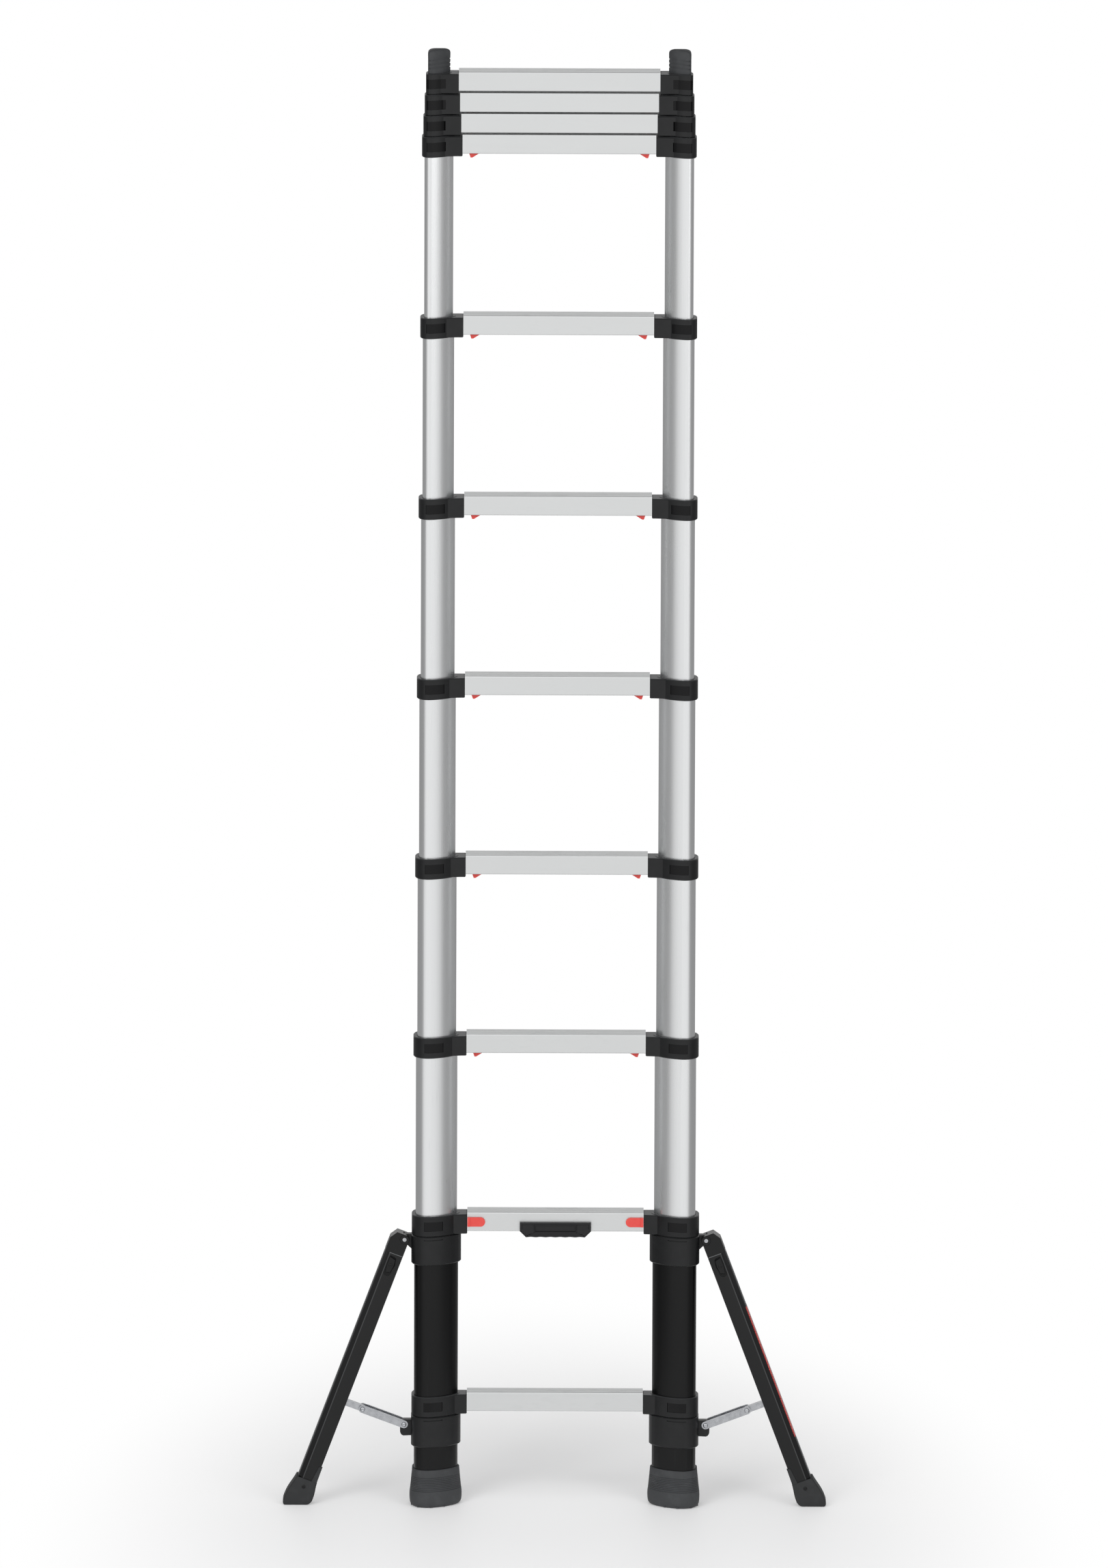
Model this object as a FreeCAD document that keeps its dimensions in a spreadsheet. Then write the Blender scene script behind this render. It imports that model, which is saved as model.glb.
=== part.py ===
import FreeCAD, Part
import math
import os
import Sketcher
from FreeCAD import Placement, Rotation, Vector

# Telescopic ladder with two folding stabiliser legs. Millimetres, +Z up, X across it, front towards -Y.
# The origin is on the floor, midway between the two main feet.
# Every paired piece is modelled on the right-hand side (+X) and mirrored to the left.

SECTIONS = 9
EXTENDED = 6
RIGHT_SIDE = Vector(1, 0, 0)

DIMENSIONS = {
    # Overall layout
    "stile_offset": 196,          # from the middle of the ladder to the centre of each stile
    "bottom_rung_top": 190,       # tread heights above the floor
    "release_rung_top": 495,
    "rung_pitch": 300,            # between treads when a section is out
    "stack_pitch": 34.4,          # between treads when a section is in
    "section_length": 390,        # length of each sliding tube
    # Stile section: three corner arcs joined by three slightly bulged sides
    "nose_x": 14, "nose_y": -9, "nose_radius": 22,
    "heel_x": 15, "heel_y": 9.6, "heel_radius": 21,
    "inner_x": -15, "inner_y": 9.6, "inner_radius": 21,
    "outer_side_radius": 260, "back_side_radius": 260, "long_side_radius": 72,
    "tube_wall": 1.3,
    "tube_clearance": 0.8,        # all round, between a tube and the next one inside it
    "base_tube_start": 8,
    # Rungs
    "rung_width": 40, "rung_height": 31.7, "rung_wall": 1.8, "tread_wall": 3.4,
    "bottom_rung_width": 34,
    "rung_centre_y": 9.6,
    "rung_half": 145,             # visible half length of the release rung
    "rung_edge": 1.6,
    "groove_width": 1.2, "groove_depth": 0.6, "groove_pitch": 7.6,
    # Collars
    "collar_height": 34, "collar_wall": 4.2, "collar_drop": 3,
    "collar_edge": 1.4,
    "lip_height": 2, "lip_gap": 0.4,
    "band_height": 15.5, "band_depth": 0.8, "band_start": 9.5,
    "band_left": -11, "band_right": 20, "neck_step": 0.6, "neck_root": 4.5, "neck_inset": 8,
    "spigot_length": 9, "spigot_gap": 0.2,
    "sweep_radius": 95,
    # Locks
    "pin_radius": 3.2, "pin_gap": 0.1, "pin_rest_gap": 0.5,
    "button_length": 29, "button_height": 15.4, "button_thickness": 2.6, "button_lift": 0.3,
    "button_travel": 8, "button_gap": 0.3, "ridge_height": 1.6, "ridge_width": 4,
    "carrier_inset": 15, "carrier_width": 10, "tongue_width": 6, "slot_gap": 0.4,
    "cam_length": 20, "cam_drop": 9, "cam_inset": 10, "cam_width": 12, "cam_stem": 7, "cam_gap": 0.4,
    "cam_tip": 3, "cam_bevel": 3,
    # Top caps
    "cap_height": 40, "cap_wall": 0.9, "cap_edge": 2.4,
    "cap_ring_depth": 0.8, "cap_ring_height": 2, "cap_ring_pitch": 9, "cap_ring_start": 8,
    # Main feet
    "foot_height": 63, "foot_wall": 2.6, "foot_flare": 7, "foot_sole": 8,
    # Badge
    "badge_length": 117, "badge_height": 25, "badge_thickness": 6, "badge_below": 9,
    "badge_window_length": 67, "badge_window_height": 10, "badge_window_depth": 1, "badge_chamfer": 9,
    "badge_window_drop": 10.5,
    # Clamps and hinges of the stabiliser legs
    "upper_clamp_height": 48, "lower_clamp_height": 51, "clamp_wall": 4.8, "clamp_gap": 0.3,
    "clamp_slot_height": 2, "clamp_slot_depth": 1.4,
    "ear_half_width": 6.5, "ear_radius": 8,
    "pivot_x": 248, "pivot_z": 449, "hinge_pin_radius": 3.2, "hinge_pin_gap": 0.05,
    "brace_x": 248.5, "brace_z": 135.6,
    # Stabiliser legs
    "splay": 20.5, "leg_offset": 8, "leg_width": 31, "leg_depth": 28, "leg_wall": 1.6,
    "head_length": 28, "head_plug": 24, "head_gap": 0.5, "fork_clearance": 1.5, "head_shoulder": 8,
    "ear_drop": 14,
    "leg_foot_length": 46, "leg_foot_wall": 2.6, "leg_foot_flare": 4.5, "leg_foot_plug": 20,
    "leg_foot_edge": 3.5,
    # Brace links
    "outer_link_length": 72.6, "link_radius": 6.5, "link_plate": 1.5, "link_flange": 2.5,
    "inner_link_offset": 15.5, "inner_link_radius": 5, "inner_link_half": 5.5, "link_gap": 0.5,
    "rivet_radius": 2.5, "rivet_head_radius": 4.2, "rivet_head_height": 2,
}

doc = FreeCAD.newDocument("telescopic_ladder")
sheet = doc.addObject("Spreadsheet::Sheet", "dims")
sheet.Label = "dims"
for row, (word, number) in enumerate(DIMENSIONS.items(), start=1):
    sheet.set("A%d" % row, word)
    sheet.set("B%d" % row, str(number))
    sheet.setAlias("B%d" % row, word)
doc.recompute()


def value(formula):
    """The number that a formula on the sheet's names gives."""
    result = sheet.evalExpression(formula)
    return float(getattr(result, "Value", result))


def bind(thing, **formulas):
    """Tie properties to formulas; a double underscore stands for a dot."""
    for name, formula in formulas.items():
        thing.setExpression(name.replace("__", "."), formula)


def place(thing, x="0", y="0", z="0"):
    """Tie the position of an object to formulas."""
    bind(thing, Placement__Base__x=x, Placement__Base__y=y, Placement__Base__z=z)


# ---------------------------------------------------------------- building blocks

def new_body(label):
    body = doc.addObject("PartDesign::Body", label)
    body.Label = label
    return body


def new_sketch(body, name, plane="XY_Plane", offset=None):
    """A sketch on one of the body's own origin planes, raised by a formula along the plane's normal."""
    sketch = body.newObject("Sketcher::SketchObject", name)
    origin_plane = [o for o in body.Origin.OriginFeatures if o.Role == plane][0]
    sketch.AttachmentSupport = [(origin_plane, "")]
    sketch.MapMode = "FlatFace"
    if offset:
        sketch.setExpression("AttachmentOffset.Base.z", offset)
    return sketch


def constrain(sketch, constraint, formula):
    index = sketch.addConstraint(constraint)
    sketch.setExpression("Constraints[%d]" % index, formula)


def pad(body, sketch, length, symmetric=False):
    feature = body.newObject("PartDesign::Pad", sketch.Name + "_pad")
    feature.Profile = sketch
    feature.Midplane = symmetric
    bind(feature, Length=length)
    return feature


def pocket(body, sketch, length, upwards=False, symmetric=False):
    feature = body.newObject("PartDesign::Pocket", sketch.Name + "_pocket")
    feature.Profile = sketch
    feature.Reversed = upwards
    feature.Midplane = symmetric
    bind(feature, Length=length)
    return feature


def primitive(body, kind, name, sizes, at=("0", "0", "0"), turn=None):
    """One of PartDesign's primitives, such as AdditiveBox, with its sizes and corner tied to formulas."""
    feature = body.newObject("PartDesign::" + kind, name)
    if turn:
        feature.Placement = Placement(Vector(), turn)
    bind(feature, **sizes)
    place(feature, *at)
    return feature


def box_in(body, kind, name, low, high):
    """A primitive box between two corners, each a tuple of three formulas."""
    sizes = {key: "(%s) - (%s)" % (top, bottom)
             for key, bottom, top in zip(("Length", "Width", "Height"), low, high)}
    return primitive(body, kind, name, sizes, low)


ALONG_Y = Rotation(Vector(1, 0, 0), -90)
ALONG_X = Rotation(Vector(0, 1, 0), 90)


def rectangle(sketch, left, right, bottom, top):
    """A rectangle whose four sides are tied to formulas."""
    x0, x1, y0, y1 = value(left), value(right), value(bottom), value(top)
    corners = [Vector(x0, y0), Vector(x1, y0), Vector(x1, y1), Vector(x0, y1)]
    first = sketch.GeometryCount
    for i in range(4):
        sketch.addGeometry(Part.LineSegment(corners[i], corners[(i + 1) % 4]), False)
    for i in range(4):
        sketch.addConstraint(Sketcher.Constraint("Coincident", first + i, 2, first + (i + 1) % 4, 1))
        kind = "Horizontal" if i % 2 == 0 else "Vertical"
        sketch.addConstraint(Sketcher.Constraint(kind, first + i))
    constrain(sketch, Sketcher.Constraint("DistanceX", first, 1, x0), left)
    constrain(sketch, Sketcher.Constraint("DistanceX", first + 1, 1, x1), right)
    constrain(sketch, Sketcher.Constraint("DistanceY", first, 1, y0), bottom)
    constrain(sketch, Sketcher.Constraint("DistanceY", first + 2, 1, y1), top)


def polygon(sketch, points):
    """A closed outline of straight lines through points given as pairs of formulas."""
    places = [Vector(value(x), value(y)) for x, y in points]
    count = len(points)
    for i in range(count):
        sketch.addGeometry(Part.LineSegment(places[i], places[(i + 1) % count]), False)
    for i in range(count):
        sketch.addConstraint(Sketcher.Constraint("Coincident", i, 2, (i + 1) % count, 1))
    for i, (x, y) in enumerate(points):
        constrain(sketch, Sketcher.Constraint("DistanceX", i, 1, places[i].x), x)
        constrain(sketch, Sketcher.Constraint("DistanceY", i, 1, places[i].y), y)


CORNERS = ("nose", "heel", "inner")
SIDES = ("outer_side_radius", "back_side_radius", "long_side_radius")


def side_centre(start, start_radius, end, end_radius, radius):
    """Centre of the large arc that wraps two corner arcs, with the stile on its left."""
    a, b = radius - start_radius, radius - end_radius
    span = end - start
    along = (a * a - b * b + span.Length ** 2) / (2 * span.Length)
    height = math.sqrt(a * a - along * along)
    ahead = span / span.Length
    return start + ahead * along + Vector(-ahead.y, ahead.x) * height


def stile_outline(sketch, grow):
    """The stile's rounded triangle, grown or shrunk all round by a formula, so every size is concentric."""
    extra = value(grow)
    centres = [Vector(value("dims.%s_x" % c), value("dims.%s_y" % c)) for c in CORNERS]
    radii = [value("dims.%s_radius" % c) + extra for c in CORNERS]
    side_radii = [value("dims." + s) + extra for s in SIDES]
    side_centres = [side_centre(centres[i], radii[i], centres[(i + 1) % 3], radii[(i + 1) % 3],
                                side_radii[i])
                    for i in range(3)]
    up = Vector(0, 0, 1)
    first = sketch.GeometryCount

    def bearing(i, side):
        direction = centres[i] - side_centres[side]
        return math.atan2(direction.y, direction.x)

    for i in range(3):
        corner = Part.Circle(centres[i], up, radii[i])
        sketch.addGeometry(Part.ArcOfCircle(corner, bearing(i, i - 1), bearing(i, i)), False)
        side = Part.Circle(side_centres[i], up, side_radii[i])
        sketch.addGeometry(Part.ArcOfCircle(side, bearing(i, i), bearing((i + 1) % 3, i)), False)
    for i in range(6):
        sketch.addConstraint(Sketcher.Constraint("Tangent", first + i, 2, first + (i + 1) % 6, 1))
    for i, corner in enumerate(CORNERS):
        arc = first + 2 * i
        constrain(sketch, Sketcher.Constraint("DistanceX", arc, 3, centres[i].x), "dims.%s_x" % corner)
        constrain(sketch, Sketcher.Constraint("DistanceY", arc, 3, centres[i].y), "dims.%s_y" % corner)
        constrain(sketch, Sketcher.Constraint("Radius", arc, radii[i]),
                  "dims.%s_radius + %s" % (corner, grow))
        constrain(sketch, Sketcher.Constraint("Radius", arc + 1, side_radii[i]),
                  "dims.%s + %s" % (SIDES[i], grow))
    return sketch


def prism(body, name, grow, start, height):
    """A stile-shaped block."""
    return pad(body, stile_outline(new_sketch(body, name, offset=start), grow), height)


def well(body, name, grow, start, height):
    """A stile-shaped hole that rises from its sketch."""
    return pocket(body, stile_outline(new_sketch(body, name, offset=start), grow), height, upwards=True)


def group(label, *members):
    """One node made of several solids."""
    node = doc.addObject("Part::Compound", label)
    node.Label = label
    node.Links = list(members)
    return node


def mirrored(piece, label):
    """The left-hand copy of a right-hand piece."""
    copy = doc.addObject("Part::Mirroring", label)
    copy.Label = label
    copy.Source = piece
    copy.Normal = RIGHT_SIDE
    return copy


def both_sides(label, piece):
    return group(label, piece, mirrored(piece, label + "_left"))


NODES = []


def keep(node):
    NODES.append(node)
    return node


# ---------------------------------------------------------------- places along the ladder

def shrink(section):
    """How far a section's outer face lies inside the base tube's. Section 0 is the base."""
    return "%d * (dims.tube_wall + dims.tube_clearance)" % section


def rung_top(section):
    """Tread height of the rung at the top of a section, 6 sections out and the rest in."""
    out, stacked = min(section, EXTENDED), max(section - EXTENDED, 0)
    return "dims.release_rung_top + %d * dims.rung_pitch + %d * dims.stack_pitch" % (out, stacked)


def collar_start(top):
    return "(%s) - dims.collar_drop - dims.collar_height" % top


def tube_end(top):
    return "(%s) - dims.collar_drop - dims.lip_height" % top


def rung_half(section):
    """Half of the rung's visible length: the collars' necks keep one length while the tubes get thinner."""
    return "(dims.rung_half + %s)" % shrink(section)


def inner_face(section):
    """Distance from the middle of the ladder to the inner face of a section's tube."""
    return "(dims.stile_offset + dims.inner_x - dims.inner_radius + %s)" % shrink(section)


PIN_HEIGHT = "dims.rung_height / 2"


def pin_level(top):
    return "(%s) - %s" % (top, PIN_HEIGHT)


# ---------------------------------------------------------------- stiles

def sliding_tube(section):
    """One pair of aluminium tubes, with the holes for the lock that holds them out and for their own lock."""
    name = "section_%d_tube" % section
    body = new_body(name)
    top = tube_end(rung_top(section))
    start = "(%s) + dims.lip_height - dims.section_length" % top
    length = "dims.section_length - dims.lip_height"
    outer = "(0 - %s)" % shrink(section)
    prism(body, name + "_outside", outer, "0", length)
    well(body, name + "_inside", outer + " - dims.tube_wall", "0", length)
    hole_reach = "dims.inner_radius - %s" % shrink(section)
    holes = {"own": "(%s) - (%s)" % (pin_level(rung_top(section)), start)}
    if section > 0:
        below = pin_level(rung_top(section - 1))
        if section > EXTENDED:
            # The lock that would hold this section out meets it a full stroke lower.
            below = "(%s) - dims.rung_pitch + dims.stack_pitch" % below
        holes["lock"] = "(%s) - (%s)" % (below, start)
    for use, height in holes.items():
        primitive(body, "SubtractiveCylinder", "%s_%s_hole" % (name, use),
                  {"Radius": "dims.pin_radius + dims.pin_gap", "Height": hole_reach},
                  ("dims.inner_x - (%s) - 1" % hole_reach, "dims.rung_centre_y", height), ALONG_X)
    place(body, "dims.stile_offset", "0", start)
    keep(both_sides("section_%d_tubes" % section, body))


def base_tube():
    """The black outer tubes, which run from the main feet to the release rung."""
    body = new_body("base_tube")
    length = "(%s) - dims.base_tube_start" % tube_end("dims.release_rung_top")
    prism(body, "base_tube_outside", "0", "0", length)
    well(body, "base_tube_inside", "(0 - dims.tube_wall)", "0", length)
    primitive(body, "SubtractiveCylinder", "base_tube_hole",
              {"Radius": "dims.pin_radius + dims.pin_gap", "Height": "dims.inner_radius"},
              ("dims.inner_x - dims.inner_radius - 1", "dims.rung_centre_y",
               "(%s) - dims.base_tube_start" % pin_level("dims.release_rung_top")), ALONG_X)
    place(body, "dims.stile_offset", "0", "dims.base_tube_start")
    keep(both_sides("base_tubes", body))


# ---------------------------------------------------------------- rungs

def rung(label, section, top, width, cams=False, slots=False):
    """A hollow aluminium extrusion with a grooved tread, cut to length and slotted for its lock parts."""
    body = new_body(label)
    length = "2 * %s" % rung_half(section)
    half = "(%s) / 2" % width
    outside = new_sketch(body, label + "_outside", "YZ_Plane")
    rectangle(outside, "0 - %s" % half, half, "0", "dims.rung_height")
    block = pad(body, outside, length, symmetric=True)
    doc.recompute()
    edges = body.newObject("PartDesign::Fillet", label + "_edges")
    long_edges = ["Edge%d" % (i + 1) for i, e in enumerate(block.Shape.Edges) if is_long(e, value(length))]
    edges.Base = (block, long_edges)
    bind(edges, Radius="dims.rung_edge")
    inside = new_sketch(body, label + "_inside", "YZ_Plane")
    rectangle(inside, "0 - %s + dims.rung_wall" % half, "%s - dims.rung_wall" % half,
              "dims.rung_wall", "dims.rung_height - dims.tread_wall")
    pocket(body, inside, length, symmetric=True)
    grooves = int((value(width) - 2 * value("dims.rung_edge")) // value("dims.groove_pitch"))
    groove = new_sketch(body, label + "_groove", "YZ_Plane")
    first = "0 - %d * dims.groove_pitch" % (grooves - 1)
    rectangle(groove, "(%s) / 2 - dims.groove_width / 2" % first,
              "(%s) / 2 + dims.groove_width / 2" % first,
              "dims.rung_height - dims.groove_depth", "dims.rung_height + dims.groove_depth")
    cut = pocket(body, groove, length, symmetric=True)
    rows = body.newObject("PartDesign::LinearPattern", label + "_grooves")
    rows.Originals = [cut]
    rows.Direction = ([o for o in body.Origin.OriginFeatures if o.Role == "Y_Axis"][0], [""])
    rows.Occurrences = grooves
    bind(rows, Length="%d * dims.groove_pitch" % (grooves - 1))
    body.Tip = rows
    if cams:
        for side in ("", "0 - "):
            near = "(%s(%s - dims.cam_inset + dims.cam_gap))" % (side, rung_half(section))
            far = "(%s(%s - dims.cam_inset - dims.cam_length - dims.cam_gap))" % (side, rung_half(section))
            low, high = (near, far) if side else (far, near)
            reach = "(dims.cam_width / 2 + dims.cam_gap)"
            box_in(body, "SubtractiveBox", label + ("_cam_slot_left" if side else "_cam_slot"),
                   (low, "0 - %s" % reach, "0 - 1"), (high, reach, "2 * dims.rung_wall - 1"))
    if slots:
        reach = "(dims.tongue_width / 2 + dims.slot_gap)"
        near = "(%s + %s)" % (CARRIER_X, reach)
        far = "(%s - dims.button_travel - %s)" % (CARRIER_X, reach)
        for side in ("", "0 - "):
            low, high = (side + near, side + far) if side else (far, near)
            box_in(body, "SubtractiveBox", label + ("_slot_left" if side else "_slot"),
                   (low, "0 - %s - 1" % half, "%s - %s" % (PIN_HEIGHT, reach)),
                   (high, "0 - %s + 2 * dims.rung_wall" % half, "%s + %s" % (PIN_HEIGHT, reach)))
    place(body, "0", "dims.rung_centre_y", "(%s) - dims.rung_height" % top)
    return keep(body)


def is_long(edge, length):
    return abs(edge.Length - length) < 1e-6


CARRIER_X = "(dims.rung_half - dims.carrier_inset)"


# ---------------------------------------------------------------- collars

def collar(label, section, top, depth, lip=True, latch=True, pin_bore=False):
    """Moulded collar: a ring round the tube, a neck sweeping to the rung's front, and a spigot inside it."""
    inset = "(0 - %s)" % shrink(section)
    tall = "dims.collar_height"
    rung_end = "(%s - dims.stile_offset)" % rung_half(section)
    front = "(dims.rung_centre_y - (%s) / 2)" % depth
    back = "(dims.rung_centre_y + (%s) / 2)" % depth
    ring = new_body(label + "_ring")
    prism(ring, label + "_round", "%s + dims.collar_wall" % inset, "0", tall)
    soften(ring, label + "_round_edges", "dims.collar_edge")
    neck = new_body(label + "_neck")
    plan = new_sketch(neck, label + "_sweep", offset="dims.neck_step")
    neck_outline(plan, section, rung_end, front, back)
    pad(neck, plan, "%s - 2 * dims.neck_step" % tall)
    soften(neck, label + "_sweep_edges", "dims.collar_edge")
    rung_floor = "(dims.collar_height + dims.collar_drop - dims.rung_height)"
    box_in(neck, "AdditiveBox", label + "_spigot",
           ("%s - dims.spigot_length" % rung_end, "%s + dims.rung_wall + dims.spigot_gap" % front,
            "%s + dims.rung_wall + dims.spigot_gap" % rung_floor),
           ("%s + 1" % rung_end, "%s - dims.rung_wall - dims.spigot_gap" % back,
            "dims.collar_height + dims.collar_drop - dims.tread_wall - dims.spigot_gap"))
    bore = new_body(label + "_bore")
    prism(bore, label + "_socket", inset, "0 - 1",
          "%s + 2" % tall if not lip else "%s - dims.lip_height + 1" % tall)
    if lip:
        prism(bore, label + "_mouth", "%s - dims.tube_wall - dims.tube_clearance + dims.lip_gap" % inset,
              "1", "%s + 1" % tall)
    tools = [bore, band(label, section, "dims.collar_wall", "dims.band_depth", "dims.band_start",
                        "dims.band_height")]
    pin_z = "(dims.collar_height + dims.collar_drop - %s)" % PIN_HEIGHT
    wall_x = "(%s - dims.stile_offset)" % inner_face(section)
    if pin_bore:
        tools.append(rod(label + "_pin_bore", "dims.pin_radius + dims.pin_gap", "3 * dims.spigot_length",
                         "%s - dims.spigot_length - 1" % rung_end, pin_z))
    piece = cut_from(label + "_bored", fused(label + "_blank", ring, neck), fused(label + "_cuts", *tools))
    if latch:
        nose = rod(label + "_latch", "dims.pin_radius",
                   "dims.tube_wall + dims.tube_clearance - dims.pin_rest_gap + 1",
                   "%s - 1" % wall_x, pin_z)
        piece = fused(label + "_latched", piece, nose)
    piece.Placement = Placement()
    place(piece, "dims.stile_offset", "0", collar_start(top))
    return piece


def rod(name, radius, length, start_x, height):
    """A round rod along X, at the middle of the rungs' depth."""
    thing = doc.addObject("Part::Cylinder", name)
    thing.Placement = Placement(Vector(), ALONG_X)
    bind(thing, Radius=radius, Height=length)
    place(thing, start_x, "dims.rung_centre_y", height)
    return thing


def fused(name, *members):
    union = doc.addObject("Part::MultiFuse", name)
    union.Shapes = list(members)
    return union


def cut_from(name, base, tool):
    result = doc.addObject("Part::Cut", name)
    result.Base, result.Tool = base, tool
    return result


def band(label, section, wall, depth, start, height):
    """The tool that cuts a shallow band into the front of a collar or clamp."""
    name = label + "_band"
    inset = "(0 - %s)" % shrink(section)
    ring = new_body(name + "_ring")
    prism(ring, name + "_outside", "%s + 3 * %s" % (inset, wall), start, height)
    well(ring, name + "_core", "%s + %s - %s" % (inset, wall, depth), start, height)
    front = doc.addObject("Part::Box", name + "_front")
    bind(front, Length="dims.band_right - dims.band_left", Width="3 * dims.nose_radius",
         Height="2 * dims.foot_height")
    place(front, "dims.band_left", "dims.nose_y - 3 * dims.nose_radius", "0")
    tool = doc.addObject("Part::Common", name + "_tool")
    tool.Base, tool.Tool = ring, front
    return tool


def neck_outline(sketch, section, rung_end, front, back):
    """Plan of the neck: a swept front from the ring to the rung's face, a square end and a straight back."""
    inset = shrink(section)
    start_x = "(dims.nose_x - dims.neck_inset)"
    start_y = "(dims.nose_y - dims.nose_radius - dims.collar_wall + %s + dims.neck_root)" % inset
    middle_x, middle_y = "dims.nose_x", "dims.nose_y"
    points = [(start_x, start_y), (middle_x, middle_y), ("dims.heel_x", back), (rung_end, back),
              (rung_end, front)]
    places = [Vector(value(x), value(y)) for x, y in points]
    for i in range(4):
        sketch.addGeometry(Part.LineSegment(places[i], places[i + 1]), False)
    radius = value("dims.sweep_radius")
    sketch.addGeometry(sweep_arc(places[4], places[0], radius), False)
    for i in range(3):
        sketch.addConstraint(Sketcher.Constraint("Coincident", i, 2, i + 1, 1))
    sketch.addConstraint(Sketcher.Constraint("Coincident", 3, 2, 4, 2))
    sketch.addConstraint(Sketcher.Constraint("Coincident", 4, 1, 0, 1))
    for i, (x, y) in enumerate(points):
        index, end = (i, 1) if i < 4 else (3, 2)
        constrain(sketch, Sketcher.Constraint("DistanceX", index, end, places[i].x), x)
        constrain(sketch, Sketcher.Constraint("DistanceY", index, end, places[i].y), y)
    constrain(sketch, Sketcher.Constraint("Radius", 4, radius), "dims.sweep_radius")


def sweep_arc(start, end, radius):
    """An arc from start to end whose centre lies outside the neck, in front of it."""
    chord = end - start
    middle = (start + end) / 2
    outward = Vector(chord.y, -chord.x) / chord.Length
    centre = middle + outward * math.sqrt(radius ** 2 - (chord.Length / 2) ** 2)
    circle = Part.Circle(centre, Vector(0, 0, 1), radius)
    first = math.atan2(start.y - centre.y, start.x - centre.x)
    last = math.atan2(end.y - centre.y, end.x - centre.x)
    return Part.ArcOfCircle(circle, last, first)


def soften(body, name, size):
    """Bevel the edges of a prism's two ends."""
    doc.recompute()
    block = body.Tip
    ends = (block.Shape.BoundBox.ZMin, block.Shape.BoundBox.ZMax)
    level = [edge for edge in enumerate(block.Shape.Edges, start=1)
             if any(all(abs(v.Point.z - end) < 1e-6 for v in edge[1].Vertexes) for end in ends)]
    bevel = body.newObject("PartDesign::Chamfer", name)
    bevel.Base = (block, ["Edge%d" % number for number, edge in level])
    bind(bevel, Size=size)


def rung_collars(label, section, top, depth, **shape):
    """The collars at the two ends of one rung, with the glossy recessed band on their fronts."""
    keep(both_sides(label + "s", collar(label, section, top, depth, **shape)))


# ---------------------------------------------------------------- release buttons and lock parts

def release_button():
    """Red thumb slide on the front of the release rung, with a carrier behind it that holds the lock pin."""
    body = new_body("release_button_right")
    outer = "(dims.rung_half - dims.button_gap)"
    centre = "(%s - dims.button_length + dims.button_height / 2)" % outer
    half = "(dims.button_height / 2)"
    face = "(dims.rung_centre_y - dims.rung_width / 2)"
    front = "(%s - dims.button_lift - dims.button_thickness)" % face
    level = pin_level("dims.release_rung_top")
    low, high = "(%s - %s)" % (level, half), "(%s + %s)" % (level, half)
    box_in(body, "AdditiveBox", "button_plate", (centre, front, low),
           (outer, "%s - dims.button_lift" % face, high))
    primitive(body, "AdditiveCylinder", "button_end", {"Radius": half, "Height": "dims.button_thickness"},
              (centre, front, level), ALONG_Y)
    box_in(body, "AdditiveBox", "button_ridge", ("%s - dims.ridge_width" % outer,
                                                 "%s - dims.ridge_height" % front, low),
           (outer, "%s + 1" % front, high))
    tongue = "(dims.tongue_width / 2)"
    block = "(dims.carrier_width / 2)"
    behind = "(%s + dims.rung_wall + dims.slot_gap)" % face
    box_in(body, "AdditiveBox", "button_tongue",
           ("%s - %s" % (CARRIER_X, tongue), "%s - dims.button_lift - 1" % face,
            "%s - %s" % (level, tongue)),
           ("%s + %s" % (CARRIER_X, tongue), "%s + 1" % behind, "%s + %s" % (level, tongue)))
    box_in(body, "AdditiveBox", "button_carrier", ("%s - %s" % (CARRIER_X, block), behind,
                                                   "%s - %s" % (level, block)),
           ("%s + %s" % (CARRIER_X, block), "dims.rung_centre_y + %s" % block, "%s + %s" % (level, block)))
    primitive(body, "SubtractiveCylinder", "button_bore",
              {"Radius": "dims.pin_radius", "Height": "2 * dims.carrier_width"},
              ("%s - dims.carrier_width" % CARRIER_X, "dims.rung_centre_y", level), ALONG_X)
    keep(body)
    keep(mirrored(body, "release_button_left"))


def lock_pin():
    """Steel pin that the release button draws out of the base tube."""
    pin = doc.addObject("Part::Cylinder", "lock_pin_right")
    pin.Label = "lock_pin_right"
    start = "(%s - dims.carrier_width / 2)" % CARRIER_X
    reach = "%s + dims.tube_wall + dims.tube_clearance - dims.pin_rest_gap" % inner_face(0)
    pin.Placement = Placement(Vector(), ALONG_X)
    bind(pin, Radius="dims.pin_radius", Height="%s - %s" % (reach, start))
    place(pin, start, "dims.rung_centre_y", pin_level("dims.release_rung_top"))
    keep(pin)
    keep(mirrored(pin, "lock_pin_left"))


def release_cams(section):
    """Red wedges under a rung that the rung below pushes up to free the next section."""
    name = "rung_%d_cam" % (section + 2)
    body = new_body(name)
    outline = new_sketch(body, name + "_outline", "XZ_Plane")
    back, tip = "(0 - dims.cam_length)", "(0 - dims.cam_drop)"
    polygon(outline, [("0", "dims.cam_stem"), (back, "dims.cam_stem"), (back, "0"),
                      ("0 - dims.cam_tip - dims.cam_bevel", tip), ("0 - dims.cam_bevel", tip), ("0", "0")])
    pad(body, outline, "dims.cam_width", symmetric=True)
    lift = "dims.cam_drop" if section > EXTENDED else "0"
    place(body, "%s - dims.cam_inset" % rung_half(section), "dims.rung_centre_y",
          "(%s) - dims.rung_height + %s" % (rung_top(section), lift))
    keep(both_sides(name + "s", body))


# ---------------------------------------------------------------- caps, feet and badge

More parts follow.
